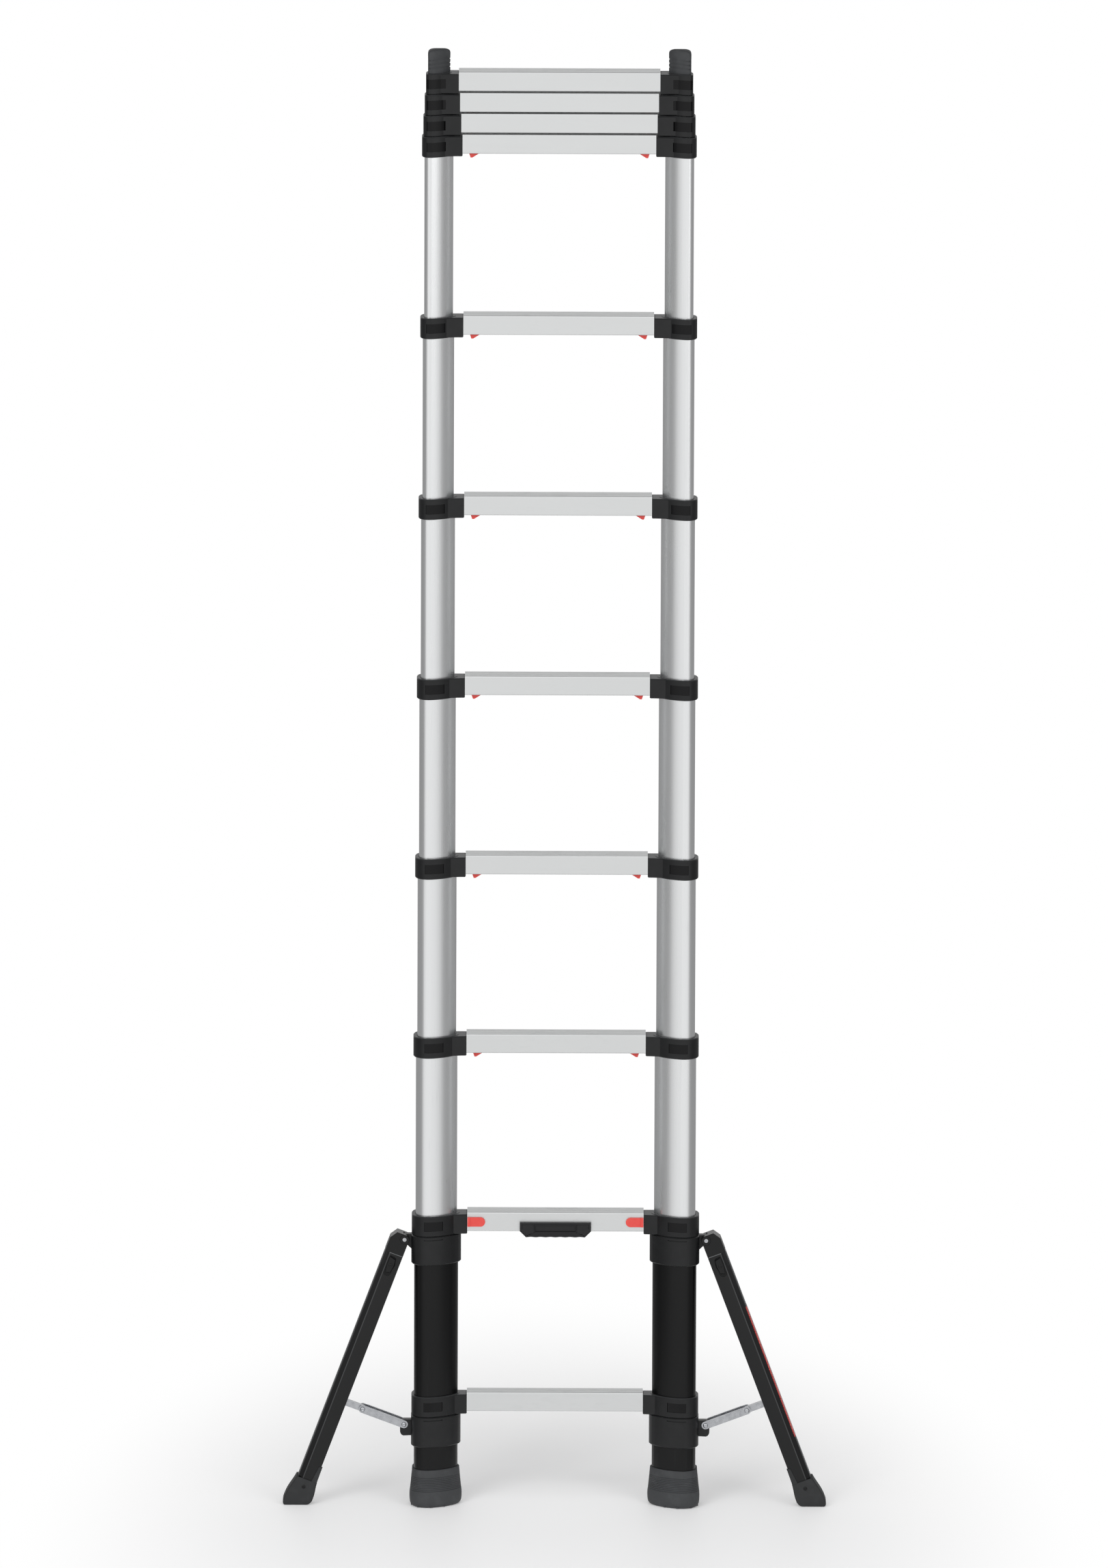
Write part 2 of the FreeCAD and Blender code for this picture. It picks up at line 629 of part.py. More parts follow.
def top_caps():
    """Ribbed rubber caps on the topmost tubes."""
    body = new_body("top_cap")
    grow = "(dims.cap_wall - %s)" % shrink(SECTIONS)
    prism(body, "cap_block", grow, "0", "dims.cap_height")
    doc.recompute()
    block = body.Tip
    tall = value("dims.cap_height")
    edges = ["Edge%d" % (i + 1) for i, e in enumerate(block.Shape.Edges)
             if all(abs(v.Point.z - tall) < 1e-6 for v in e.Vertexes)]
    dome = body.newObject("PartDesign::Fillet", "cap_dome")
    dome.Base = (block, edges)
    bind(dome, Radius="dims.cap_edge")
    for ring in range(3):
        sketch = new_sketch(body, "cap_ring_%d" % ring,
                            offset="dims.cap_ring_start + %d * dims.cap_ring_pitch" % ring)
        stile_outline(sketch, "%s + 3" % grow)
        stile_outline(sketch, "%s - dims.cap_ring_depth" % grow)
        pocket(body, sketch, "dims.cap_ring_height", upwards=True)
    place(body, "dims.stile_offset", "0", "(%s) - dims.collar_drop" % rung_top(SECTIONS))
    keep(both_sides("top_caps", body))


def base_feet():
    """Flared rubber boots under the base tubes."""
    body = new_body("base_foot")
    bottom = stile_outline(new_sketch(body, "foot_bottom"), "dims.foot_flare")
    top = stile_outline(new_sketch(body, "foot_top", offset="dims.foot_height"), "dims.foot_wall")
    loft = body.newObject("PartDesign::AdditiveLoft", "foot_loft")
    loft.Profile = bottom
    loft.Sections = [top]
    well(body, "foot_socket", "0", "dims.foot_sole", "dims.foot_height")
    place(body, "dims.stile_offset", "0", "0")
    keep(both_sides("base_feet", body))


def badge():
    """Blank grip plate in the middle of the release rung, below which it hangs."""
    body = new_body("badge")
    outline = new_sketch(body, "badge_outline", "XZ_Plane")
    half = "dims.badge_length / 2"
    slope = "(dims.badge_length / 2 - dims.badge_chamfer)"
    polygon(outline, [("0 - " + half, "0"), ("0 - " + half, "0 - dims.badge_height + dims.badge_chamfer"),
                      ("0 - " + slope, "0 - dims.badge_height"), (slope, "0 - dims.badge_height"),
                      (half, "0 - dims.badge_height + dims.badge_chamfer"), (half, "0")])
    pad(body, outline, "dims.badge_thickness")
    middle = "(0 - dims.badge_window_drop)"
    box_in(body, "SubtractiveBox", "badge_window",
           ("0 - dims.badge_window_length / 2", "0 - dims.badge_thickness - 1",
            "%s - dims.badge_window_height / 2" % middle),
           ("dims.badge_window_length / 2", "dims.badge_window_depth - dims.badge_thickness",
            "%s + dims.badge_window_height / 2" % middle))
    place(body, "0", "dims.rung_centre_y - dims.rung_width / 2",
          "dims.release_rung_top - dims.rung_height - dims.badge_below + dims.badge_height")
    keep(body)


# ---------------------------------------------------------------- clamps that carry the stabiliser legs

def clamp(label, top, height, pivot_x, pivot_z, bore, ear_drop):
    """Moulded clamp on the base tube, with a hinge ear on its outer side."""
    body = new_body(label)
    start = "((%s) - dims.clamp_gap - (%s))" % (top, height)
    prism(body, label + "_ring", "dims.clamp_wall", "0", height)
    soften(body, label + "_edges", "dims.collar_edge")
    local_x, local_z = "(%s - dims.stile_offset)" % pivot_x, "(%s - %s)" % (pivot_z, start)
    ear = new_sketch(body, label + "_ear", "XZ_Plane")
    root = "dims.heel_x + dims.heel_radius - 1"
    polygon(ear, [(root, "%s + dims.ear_radius" % local_z),
                  (root, "%s - dims.ear_radius - %s" % (local_z, ear_drop)),
                  ("%s - 2" % local_x, "%s - dims.ear_radius + 0.2" % local_z), (local_x, local_z),
                  (local_x, "%s + dims.ear_radius" % local_z)])
    pad(body, ear, "2 * dims.ear_half_width", symmetric=True)
    primitive(body, "AdditiveCylinder", label + "_boss", {"Radius": "dims.ear_radius",
                                                          "Height": "2 * dims.ear_half_width"},
              (local_x, "0 - dims.ear_half_width", local_z), ALONG_Y)
    primitive(body, "SubtractiveCylinder", label + "_bore",
              {"Radius": bore, "Height": "4 * dims.ear_half_width"},
              (local_x, "0 - 2 * dims.ear_half_width", local_z), ALONG_Y)
    well(body, label + "_socket", "0", "0", height)
    slot = band(label, 0, "dims.clamp_wall", "dims.clamp_slot_depth",
                "(%s) - 3 * dims.clamp_slot_height" % height, "dims.clamp_slot_height")
    piece = cut_from(label + "_slotted", body, slot)
    place(piece, "dims.stile_offset", "0", start)
    keep(both_sides(label + "s", piece))


def hinge_pins():
    """Steel pins on which the stabiliser legs fold."""
    pin = doc.addObject("Part::Cylinder", "hinge_pin")
    pin.Placement = Placement(Vector(), ALONG_Y)
    bind(pin, Radius="dims.hinge_pin_radius", Height="dims.leg_depth + 1")
    place(pin, "dims.pivot_x", "0 - dims.leg_depth / 2 - 0.5", "dims.pivot_z")
    keep(both_sides("hinge_pins", pin))


# ---------------------------------------------------------------- stabiliser legs
# A leg is drawn hanging straight down from its pivot, +X away from the ladder, then splayed about the pivot.

SIN = "sin(dims.splay * 1 deg)"
COS = "cos(dims.splay * 1 deg)"
LEG_LENGTH = "((dims.pivot_z + dims.leg_offset * %s) / %s)" % (SIN, COS)
LEG_INNER = "(dims.leg_offset - dims.leg_width / 2)"
LEG_OUTER = "(dims.leg_offset + dims.leg_width / 2)"
BRACE_ACROSS = "((dims.brace_x - dims.pivot_x) * %s + (dims.brace_z - dims.pivot_z) * %s)" % (COS, SIN)
BRACE_DOWN = "((dims.brace_x - dims.pivot_x) * %s - (dims.brace_z - dims.pivot_z) * %s)" % (SIN, COS)
INNER_LINK_LENGTH = "(dims.inner_link_offset - %s - dims.outer_link_length)" % BRACE_ACROSS


def splayed(thing, x="dims.pivot_x", z="dims.pivot_z"):
    """Turn a piece by the splay angle and put its local origin at a point of the leg."""
    thing.Placement = Placement(Vector(), Rotation(Vector(0, -1, 0), value("dims.splay")))
    thing.setExpression("Placement.Rotation.Angle", "dims.splay * 1 deg")
    thing.setExpression("Placement.Base.x", x)
    thing.setExpression("Placement.Base.z", z)
    return thing


def hinged_pair(label, piece):
    """The same piece on the right and on the left leg, as two nodes."""
    right = group(label + "_right", piece)
    keep(right)
    keep(group(label + "_left", mirrored(piece, label + "_copy")))


def leg_tube():
    """Channel open towards the ladder, with the rivet that the brace turns on."""
    body = new_body("leg_channel")
    section = new_sketch(body, "leg_section", offset="dims.leg_foot_plug - %s" % LEG_LENGTH)
    half, wall = "(dims.leg_depth / 2)", "dims.leg_wall"
    inside = "(%s - %s)" % (half, wall)
    bed = "(%s - %s)" % (LEG_OUTER, wall)
    polygon(section, [(LEG_INNER, "0 - %s" % half), (LEG_OUTER, "0 - %s" % half), (LEG_OUTER, half),
                      (LEG_INNER, half), (LEG_INNER, inside), (bed, inside), (bed, "0 - %s" % inside),
                      (LEG_INNER, "0 - %s" % inside)])
    channel = pad(body, section, "%s - dims.leg_foot_plug - dims.head_length" % LEG_LENGTH)
    doc.recompute()
    outer, depth = value(LEG_OUTER), value("dims.leg_depth") / 2

    def at_corner(vertex):
        return abs(vertex.Point.x - outer) < 1e-6 and abs(abs(vertex.Point.y) - depth) < 1e-6

    corners = ["Edge%d" % (i + 1) for i, e in enumerate(channel.Shape.Edges)
               if all(at_corner(v) for v in e.Vertexes) and e.Length > depth * 3]
    rounding = body.newObject("PartDesign::Fillet", "leg_corners")
    rounding.Base = (channel, corners)
    bind(rounding, Radius="dims.leg_wall - 0.1")
    primitive(body, "AdditiveCylinder", "leg_rivet", {"Radius": "dims.rivet_radius",
                                                      "Height": "dims.leg_depth + 2"},
              ("dims.inner_link_offset", "0 - dims.leg_depth / 2 - 1", "0 - %s" % BRACE_DOWN), ALONG_Y)
    hinged_pair("leg_tube", splayed(body))


def leg_head():
    """Cast fork at the top of a leg: two cheeks round the clamp's ear, and a plug inside the channel."""
    body = new_body("leg_fork")
    outline = new_sketch(body, "fork_outline", "XZ_Plane")
    r = "dims.ear_radius"
    polygon(outline, [(LEG_INNER, "0 - dims.head_length"), (LEG_OUTER, "0 - dims.head_length"),
                      (LEG_OUTER, "0 - %s / 2" % r), ("%s - dims.head_shoulder" % LEG_OUTER, r),
                      ("0", r), (LEG_INNER, "0")])
    pad(body, outline, "dims.leg_depth", symmetric=True)
    primitive(body, "AdditiveCylinder", "fork_boss", {"Radius": r, "Height": "dims.leg_depth"},
              ("0", "0 - dims.leg_depth / 2", "0"), ALONG_Y)
    slack = "(dims.leg_wall + 0.3)"
    box_in(body, "AdditiveBox", "fork_plug",
           ("%s + 1" % LEG_INNER, "%s - dims.leg_depth / 2" % slack,
            "0 - dims.head_length - dims.head_plug"),
           ("%s - %s" % (LEG_OUTER, slack), "dims.leg_depth / 2 - %s" % slack, "1 - dims.head_length"))
    reach = "(dims.ear_half_width + dims.head_gap)"
    box_in(body, "SubtractiveBox", "fork_slot",
           ("%s - 2 * %s" % (LEG_INNER, r), "0 - %s" % reach, "0 - %s - dims.ear_drop / 2 - 1" % r),
           ("0", reach, "3 * %s" % r))
    primitive(body, "SubtractiveCylinder", "fork_seat", {"Radius": "%s + dims.fork_clearance" % r,
                                                         "Height": "2 * %s" % reach},
              ("0", "0 - %s" % reach, "0"), ALONG_Y)
    primitive(body, "SubtractiveCylinder", "fork_bore",
              {"Radius": "dims.hinge_pin_radius + dims.hinge_pin_gap", "Height": "2 * dims.leg_depth"},
              ("0", "0 - dims.leg_depth", "0"), ALONG_Y)
    hinged_pair("leg_hinge_head", splayed(body))


def leg_foot():
    """Moulded foot that flares to a sole lying flat on the floor when the leg is out."""
    body = new_body("leg_boot")
    outline = new_sketch(body, "boot_outline", "XZ_Plane")
    top = "(dims.leg_foot_length - %s)" % LEG_LENGTH
    low = "(0 - %s - dims.leg_foot_length / 2)" % LEG_LENGTH
    wall, flare = "dims.leg_foot_wall", "(dims.leg_foot_wall + 1.5 * dims.leg_foot_flare)"
    polygon(outline, [("%s - %s" % (LEG_INNER, flare), low), ("%s + %s" % (LEG_OUTER, flare), low),
                      ("%s + %s" % (LEG_OUTER, wall), top), ("%s - %s" % (LEG_INNER, wall), top)])
    block = pad(body, outline, "dims.leg_depth + 2 * dims.leg_foot_wall", symmetric=True)
    doc.recompute()
    length = value("dims.leg_foot_length")
    edges = ["Edge%d" % (i + 1) for i, e in enumerate(block.Shape.Edges)
             if e.Length > length and abs(e.Vertexes[0].Point.z - e.Vertexes[1].Point.z) > length / 2]
    rounding = body.newObject("PartDesign::Fillet", "boot_corners")
    rounding.Base = (block, edges)
    bind(rounding, Radius="dims.leg_foot_edge")
    box_in(body, "SubtractiveBox", "boot_socket",
           (LEG_INNER, "0 - dims.leg_depth / 2", "dims.leg_foot_plug - %s" % LEG_LENGTH),
           (LEG_OUTER, "dims.leg_depth / 2", "%s + 1" % top))
    floor = doc.addObject("Part::Box", "floor")
    bind(floor, Length="3 * dims.pivot_x", Width="4 * dims.leg_depth", Height="dims.pivot_z")
    place(floor, "0", "0 - 2 * dims.leg_depth", "0 - dims.pivot_z")
    sole = doc.addObject("Part::Cut", "leg_sole")
    sole.Base, sole.Tool = splayed(body), floor
    hinged_pair("leg_foot", sole)


def outer_link():
    """Zinc-plated link riveted to the lower clamp: two angle plates, one each side of the ear."""
    body = new_body("brace_plates")
    inside, r = "(dims.ear_half_width + dims.link_gap)", "dims.link_radius"
    outside = "(%s + dims.link_plate)" % inside
    for side in ("", "0 - "):
        low, high = (outside, inside) if side else (inside, outside)
        tag = "_back" if not side else "_front"
        box_in(body, "AdditiveBox", "plate" + tag, ("0", side + low, "0 - %s" % r),
               ("dims.outer_link_length", side + high, r))
        for place_name, x in (("ear", "0"), ("knee", "dims.outer_link_length")):
            primitive(body, "AdditiveCylinder", "plate_%s%s" % (place_name, tag),
                      {"Radius": r, "Height": "dims.link_plate"},
                      (x, side + low, "0"), ALONG_Y)
        flange = "(%s + dims.link_flange)" % outside
        edge_low, edge_high = (flange, inside) if side else (inside, flange)
        box_in(body, "AdditiveBox", "flange" + tag, (r, side + edge_low, "%s - dims.link_plate" % r),
               ("dims.outer_link_length - %s" % r, side + edge_high, r))
        head = "(%s + dims.rivet_head_height)" % outside
        head_low = head if side else outside
        for place_name, x in (("ear", "0"), ("knee", "dims.outer_link_length")):
            primitive(body, "AdditiveCylinder", "rivet_%s%s" % (place_name, tag),
                      {"Radius": "dims.rivet_head_radius", "Height": "dims.rivet_head_height"},
                      (x, side + head_low, "0"), ALONG_Y)
    primitive(body, "AdditiveCylinder", "ear_rivet", {"Radius": "dims.rivet_radius",
                                                      "Height": "2 * %s" % outside},
              ("0", "0 - %s" % outside, "0"), ALONG_Y)
    hinged_pair("brace_outer_link", splayed(body, "dims.brace_x", "dims.brace_z"))


def inner_link():
    """Zinc-plated link riveted inside the leg's channel; it swings between the outer link's plates."""
    body = new_body("brace_bar")
    half, r = "dims.inner_link_half", "dims.inner_link_radius"
    box_in(body, "AdditiveBox", "bar", ("0", "0 - %s" % half, "0 - %s" % r), (INNER_LINK_LENGTH, half, r))
    for end, x in (("knee", "0"), ("leg", INNER_LINK_LENGTH)):
        primitive(body, "AdditiveCylinder", "bar_" + end, {"Radius": r, "Height": "2 * %s" % half},
                  (x, "0 - " + half, "0"), ALONG_Y)
    box_in(body, "SubtractiveBox", "bar_hollow", ("0 - 2 * %s" % r, "dims.link_plate - %s" % half,
                                                  "0 - 2 * %s" % r),
           ("%s + 2 * %s" % (INNER_LINK_LENGTH, r), "%s - dims.link_plate" % half,
            "%s - dims.link_plate" % r))
    for end, x in (("knee", "0"), ("leg", INNER_LINK_LENGTH)):
        primitive(body, "SubtractiveCylinder", "bar_%s_bore" % end,
                  {"Radius": "dims.rivet_radius + dims.hinge_pin_gap", "Height": "4 * %s" % half},
                  (x, "0 - 2 * " + half, "0"), ALONG_Y)
    hinged_pair("brace_inner_link", splayed(body, "dims.brace_x + dims.outer_link_length * %s" % COS,
                                            "dims.brace_z + dims.outer_link_length * %s" % SIN))


# ---------------------------------------------------------------- the whole ladder

base_tube()
base_feet()
rung("bottom_rung", 0, "dims.bottom_rung_top", "dims.bottom_rung_width")
rung_collars("bottom_rung_collar", 0, "dims.bottom_rung_top", "dims.bottom_rung_width", lip=False,
             latch=False)
rung("release_rung", 0, "dims.release_rung_top", "dims.rung_width", slots=True)
rung_collars("release_rung_collar", 0, "dims.release_rung_top", "dims.rung_width", latch=False,
             pin_bore=True)
badge()
release_button()
lock_pin()
for section in range(1, SECTIONS + 1):
    number = section + 2
    last = section == SECTIONS
    sliding_tube(section)
    rung("rung_%d" % number, section, rung_top(section), "dims.rung_width", cams=not last)
    rung_collars("rung_%d_collar" % number, section, rung_top(section), "dims.rung_width", lip=not last,
                 latch=not last)
    if not last:
        release_cams(section)
top_caps()
clamp("upper_leg_clamp", collar_start("dims.release_rung_top"), "dims.upper_clamp_height",
      "dims.pivot_x", "dims.pivot_z", "dims.hinge_pin_radius", "dims.ear_drop")
clamp("lower_leg_clamp", collar_start("dims.bottom_rung_top"), "dims.lower_clamp_height",
      "dims.brace_x", "dims.brace_z", "dims.rivet_radius + dims.hinge_pin_gap", "dims.ear_drop")
hinge_pins()
leg_head()
leg_tube()
leg_foot()
outer_link()
inner_link()

doc.recompute()
for thing in doc.Objects:
    if "Invalid" in thing.State or "Error" in thing.State:
        raise RuntimeError("%s did not build: %s" % (thing.Label, thing.State))
for node in NODES:
    if node.Shape.isNull() or not node.Shape.isValid():
        raise RuntimeError("%s has no sound shape" % node.Label)

os.makedirs("parts", exist_ok=True)
for node in NODES:
    node.Shape.exportStep("parts/%s.step" % node.Label)
    box = node.Shape.BoundBox
    print("%-26s %d solids %10.0f mm3  x %.1f..%.1f  y %.1f..%.1f  z %.1f..%.1f" % (
        node.Label, len(node.Shape.Solids), node.Shape.Volume,
        box.XMin, box.XMax, box.YMin, box.YMax, box.ZMin, box.ZMax))
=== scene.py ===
import math

import bmesh
import bpy
from mathutils import Matrix, Vector


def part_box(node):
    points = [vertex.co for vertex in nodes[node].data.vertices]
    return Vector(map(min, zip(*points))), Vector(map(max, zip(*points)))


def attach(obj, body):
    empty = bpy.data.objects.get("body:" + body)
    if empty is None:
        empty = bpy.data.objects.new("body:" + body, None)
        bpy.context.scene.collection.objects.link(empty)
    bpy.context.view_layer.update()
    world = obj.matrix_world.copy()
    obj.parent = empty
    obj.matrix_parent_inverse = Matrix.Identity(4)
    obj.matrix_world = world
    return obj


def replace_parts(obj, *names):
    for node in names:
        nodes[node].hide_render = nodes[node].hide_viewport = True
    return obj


# A telescopic ladder standing partly extended, with two folding stabiliser legs at its base.
# Metres, +Z up, X across the ladder, front towards -Y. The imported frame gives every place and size.

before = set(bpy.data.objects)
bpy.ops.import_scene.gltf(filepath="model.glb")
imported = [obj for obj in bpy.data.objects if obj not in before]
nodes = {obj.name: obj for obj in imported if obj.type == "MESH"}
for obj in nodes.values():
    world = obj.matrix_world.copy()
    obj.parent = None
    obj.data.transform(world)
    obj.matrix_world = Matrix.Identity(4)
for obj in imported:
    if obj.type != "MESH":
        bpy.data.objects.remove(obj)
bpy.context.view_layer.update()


# ---------------------------------------------------------------- base tubes
# The two lowest tubes carry the whole ladder. They are aluminium under a satin black powder coat,
# which keeps a fine orange peel and picks up faint lengthwise scuffs.

class Field:
    """One socket of a node tree. Arithmetic on it adds Math nodes, and add() puts in any other node."""

    def __init__(self, tree, socket):
        self.tree, self.socket = tree, socket

    def add(self, kind, sockets=(), output=0, **settings):
        node = self.tree.nodes.new(kind)
        for name, setting in settings.items():
            setattr(node, name, setting)
        for name, given in sockets:
            if isinstance(given, Field):
                self.tree.links.new(given.socket, node.inputs[name])
            else:
                node.inputs[name].default_value = given
        return Field(self.tree, node.outputs[output])

    def maths(self, operation, *terms):
        return self.add("ShaderNodeMath", list(enumerate(terms)), operation=operation)

    def __add__(self, other):
        return self.maths("ADD", self, other)

    __radd__ = __add__

    def __sub__(self, other):
        return self.maths("SUBTRACT", self, other)

    def __rsub__(self, other):
        return self.maths("SUBTRACT", other, self)

    def __mul__(self, other):
        return self.maths("MULTIPLY", self, other)

    __rmul__ = __mul__

    def __truediv__(self, other):
        return self.maths("DIVIDE", self, other)

    def __rtruediv__(self, other):
        return self.maths("DIVIDE", other, self)

    def __neg__(self):
        return self.maths("SUBTRACT", 0, self)

    def __abs__(self):
        return self.maths("ABSOLUTE", self)

    def root(self):
        return self.maths("SQRT", self)

    def rise(self, low, high):
        """0 at low, 1 at high, smooth between."""
        return self.add("ShaderNodeMapRange", [("Value", self), ("From Min", low), ("From Max", high)],
                        interpolation_type="SMOOTHSTEP")

    def between(self, low, high, soft=0.0003):
        return self.rise(low - soft, low + soft) - self.rise(high - soft, high + soft)


class Finish:
    """A surface finish on one Principled shader, patterned in the frame's own coordinates."""

    def __init__(self, name, colour, **constants):
        self.material = bpy.data.materials.new(name)
        self.material.use_nodes = True
        self.material.diffuse_color = (*colour, 1)
        self.tree = self.material.node_tree
        self.shader = Field(self.tree, self.tree.nodes["Principled BSDF"].outputs[0])
        self.inputs = self.shader.socket.node.inputs
        self.inputs["Base Color"].default_value = (*colour, 1)
        for socket, number in constants.items():
            self.inputs[socket.replace("_", " ")].default_value = number
        self.place = self.shader.add("ShaderNodeTexCoord", output="Object")
        self.x, self.y, self.z = (Field(self.tree, o) for o in self.place.add(
            "ShaderNodeSeparateXYZ", [(0, self.place)]).socket.node.outputs)

    def grain(self, scale, stretch=(1, 1, 1), detail=2.0):
        """Noise from 0 to 1. A small stretch along an axis draws it out into lines."""
        drawn = self.place.add("ShaderNodeVectorMath", [(0, self.place), (1, stretch)], operation="MULTIPLY")
        return self.place.add("ShaderNodeTexNoise", [("Vector", drawn), ("Scale", scale), ("Detail", detail)])

    def tint(self, amount, first, second):
        colours = [(6, (*first, 1)), (7, (*second, 1))]
        mixed = self.place.add("ShaderNodeMix", [(0, amount)] + colours, output=2, data_type="RGBA")
        self.feed("Base Color", mixed)

    def relief(self, height, depth, strength=0.5):
        self.feed("Normal", self.place.add("ShaderNodeBump", [("Height", height), ("Distance", depth),
                                                              ("Strength", strength)]))

    def feed(self, socket, field):
        self.tree.links.new(field.socket, self.inputs[socket])

    def polished(self, mask):
        """Piano-black plastic wherever mask is 1."""
        gloss = self.place.add("ShaderNodeBsdfPrincipled", [
            ("Base Color", (0.002, 0.002, 0.0024, 1)), ("Roughness", 0.17), ("Specular IOR Level", 0.24)])
        mixed = self.place.add("ShaderNodeMixShader", [(0, mask), (1, self.shader), (2, gloss)])
        self.tree.links.new(mixed.socket, self.tree.nodes["Material Output"].inputs["Surface"])


def powder_coat():
    coat = Finish("powder_coat", (0.0016, 0.0017, 0.0019), Roughness=0.30, Specular_IOR_Level=0.26)
    peel = coat.grain(1400)
    scuff = coat.grain(160, (1, 1, 0.06), 3).rise(0.62, 0.78)
    coat.tint(scuff * 0.4, (0.0015, 0.0016, 0.0018), (0.012, 0.013, 0.014))
    coat.feed("Roughness", peel * 0.08 + scuff * 0.14 + 0.27)
    coat.relief(peel, 0.00003)
    return coat.material


def dress(finish, *names):
    """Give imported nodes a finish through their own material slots."""
    for name in names:
        for slot in nodes[name].material_slots:
            slot.link = "OBJECT"
            slot.material = finish


BLACK_COAT = powder_coat()
dress(BLACK_COAT, "base_tubes")


# ---------------------------------------------------------------- sliding tubes
# Nine pairs of satin anodised aluminium tubes, each running inside the one below.
# Drawing leaves fine lines along them, and sliding leaves faint duller streaks.

def anodised_tube():
    skin = Finish("anodised_tube", (0.80, 0.81, 0.815), Metallic=1.0, Roughness=0.33)
    lines = skin.grain(1500, (1, 1, 0.008))
    cloud = skin.grain(9, (1, 1, 0.5), 3)
    rubbed = skin.grain(260, (1, 1, 0.03)).rise(0.60, 0.74) * skin.grain(14).rise(0.48, 0.66)
    skin.tint(cloud * 0.3 + rubbed * 0.4, (0.82, 0.83, 0.835), (0.70, 0.71, 0.72))
    skin.feed("Roughness", lines * 0.06 + cloud * 0.05 + 0.23)
    skin.relief(lines, 0.00001, 0.2)
    return skin.material


dress(anodised_tube(), *["section_%d_tubes" % k for k in range(1, 10)])


# ---------------------------------------------------------------- rungs
# Eleven hollow aluminium extrusions with a grooved tread. The die leaves lines along X,
# and feet dull the middle of each tread.

def extruded_rung():
    skin = Finish("extruded_rung", (0.70, 0.71, 0.71), Metallic=1.0, Roughness=0.40)
    lines = skin.grain(700, (0.012, 1, 1))
    cloud = skin.grain(12, (0.5, 1, 1), 3)
    middle = 1 - (skin.x * skin.x).rise(0.002, 0.020)
    worn = skin.grain(90, (0.4, 1, 1), 3).rise(0.50, 0.75) * middle
    skin.tint(cloud * 0.25 + worn * 0.25, (0.68, 0.69, 0.69), (0.61, 0.62, 0.62))
    skin.feed("Roughness", lines * 0.12 + worn * 0.08 + 0.34)
    skin.relief(lines, 0.00002, 0.35)
    return skin.material


dress(extruded_rung(), "bottom_rung", "release_rung", *["rung_%d" % k for k in range(3, 12)])


# ---------------------------------------------------------------- collars
# Glass-filled black nylon mouldings that join each rung to its tubes. The mould is spark-eroded,
# so they are finely grained, apart from a polished recessed band round the front.

STILE = 0.196           # from the ladder's middle to a tube's axis
RING_HEIGHT = 0.034
WINDOW = (0.0095, 0.025)  # above the foot of the ring


def moulded_black(name, foot=None):
    """Plain nylon, or a collar's when the height of its foot is given; a collar also gets painted highlight
    lines along its top and bottom rims.
    """
    nylon = Finish(name, (0.005, 0.0053, 0.006), Roughness=0.40, Specular_IOR_Level=0.34)
    grain = nylon.grain(2600, detail=1)
    cloud = nylon.grain(60)
    shade = cloud * 0.2
    if foot is not None:
        head = foot + RING_HEIGHT
        # Painted highlights: thin lighter lines tinted along the collar ring's top and bottom rims.
        rim_highlights = nylon.z.between(head - 0.0012, head + 0.0003) + nylon.z.between(foot - 0.0003, foot + 0.0009)
        shade = shade + rim_highlights * 0.7
    nylon.tint(shade, (0.0040, 0.0043, 0.0048), (0.030, 0.031, 0.033))
    nylon.feed("Roughness", grain * 0.10 + cloud * 0.06 + 0.30)
    nylon.relief(grain, 0.00006)
    if foot is not None:
        outwards = abs(nylon.x) - STILE
        across_front = 1 - nylon.y.rise(-0.004, 0.002)
        nylon.polished(nylon.z.between(foot + WINDOW[0], foot + WINDOW[1]) * outwards.between(-0.011, 0.020)
                       * across_front)
    return nylon.material


for name in [n for n in nodes if n.endswith("_collars")]:
    dress(moulded_black(name + "_nylon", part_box(name)[0].z), name)


# ---------------------------------------------------------------- release buttons, lock pins and cams
# Signal-red acetal: two thumb slides on the release rung, and wedges under the other rungs.
# The slides draw turned steel pins out of the tube.

def signal_red():
    acetal = Finish("signal_red", (0.72, 0.055, 0.045), Roughness=0.38, Subsurface_Weight=0.08,
                    Subsurface_Scale=0.002)
    grain = acetal.grain(2200, detail=1)
    acetal.tint(acetal.grain(150), (0.70, 0.050, 0.042), (0.78, 0.085, 0.068))
    acetal.feed("Roughness", grain * 0.10 + 0.34)
    acetal.relief(grain, 0.00004, 0.4)
    return acetal.material


def zinc_plate():
    plate = Finish("zinc_plate", (0.42, 0.43, 0.45), Metallic=1.0, Roughness=0.30)
    flake = plate.place.add("ShaderNodeTexVoronoi", [("Vector", plate.place), ("Scale", 420.0)])
    cloud = plate.grain(120, detail=3)
    plate.tint(cloud, (0.30, 0.31, 0.33), (0.60, 0.61, 0.63))
    plate.feed("Roughness", flake * 0.10 + cloud * 0.12 + 0.18)
    plate.relief(cloud, 0.00008, 0.4)
    return plate.material


SIDES = (("right", 1), ("left", -1))
cams = ["rung_%d_cams" % k for k in range(3, 11)]
dress(signal_red(), "release_button_left", "release_button_right", *cams)
ZINC = zinc_plate()
dress(ZINC, "lock_pin_left", "lock_pin_right")


# ---------------------------------------------------------------- grip plate on the release rung
# A black moulded plate clipped over the middle of the rung. Its lower corners are cut off,
# its lower edge is scalloped for the fingers, and its window is sunk and blank.

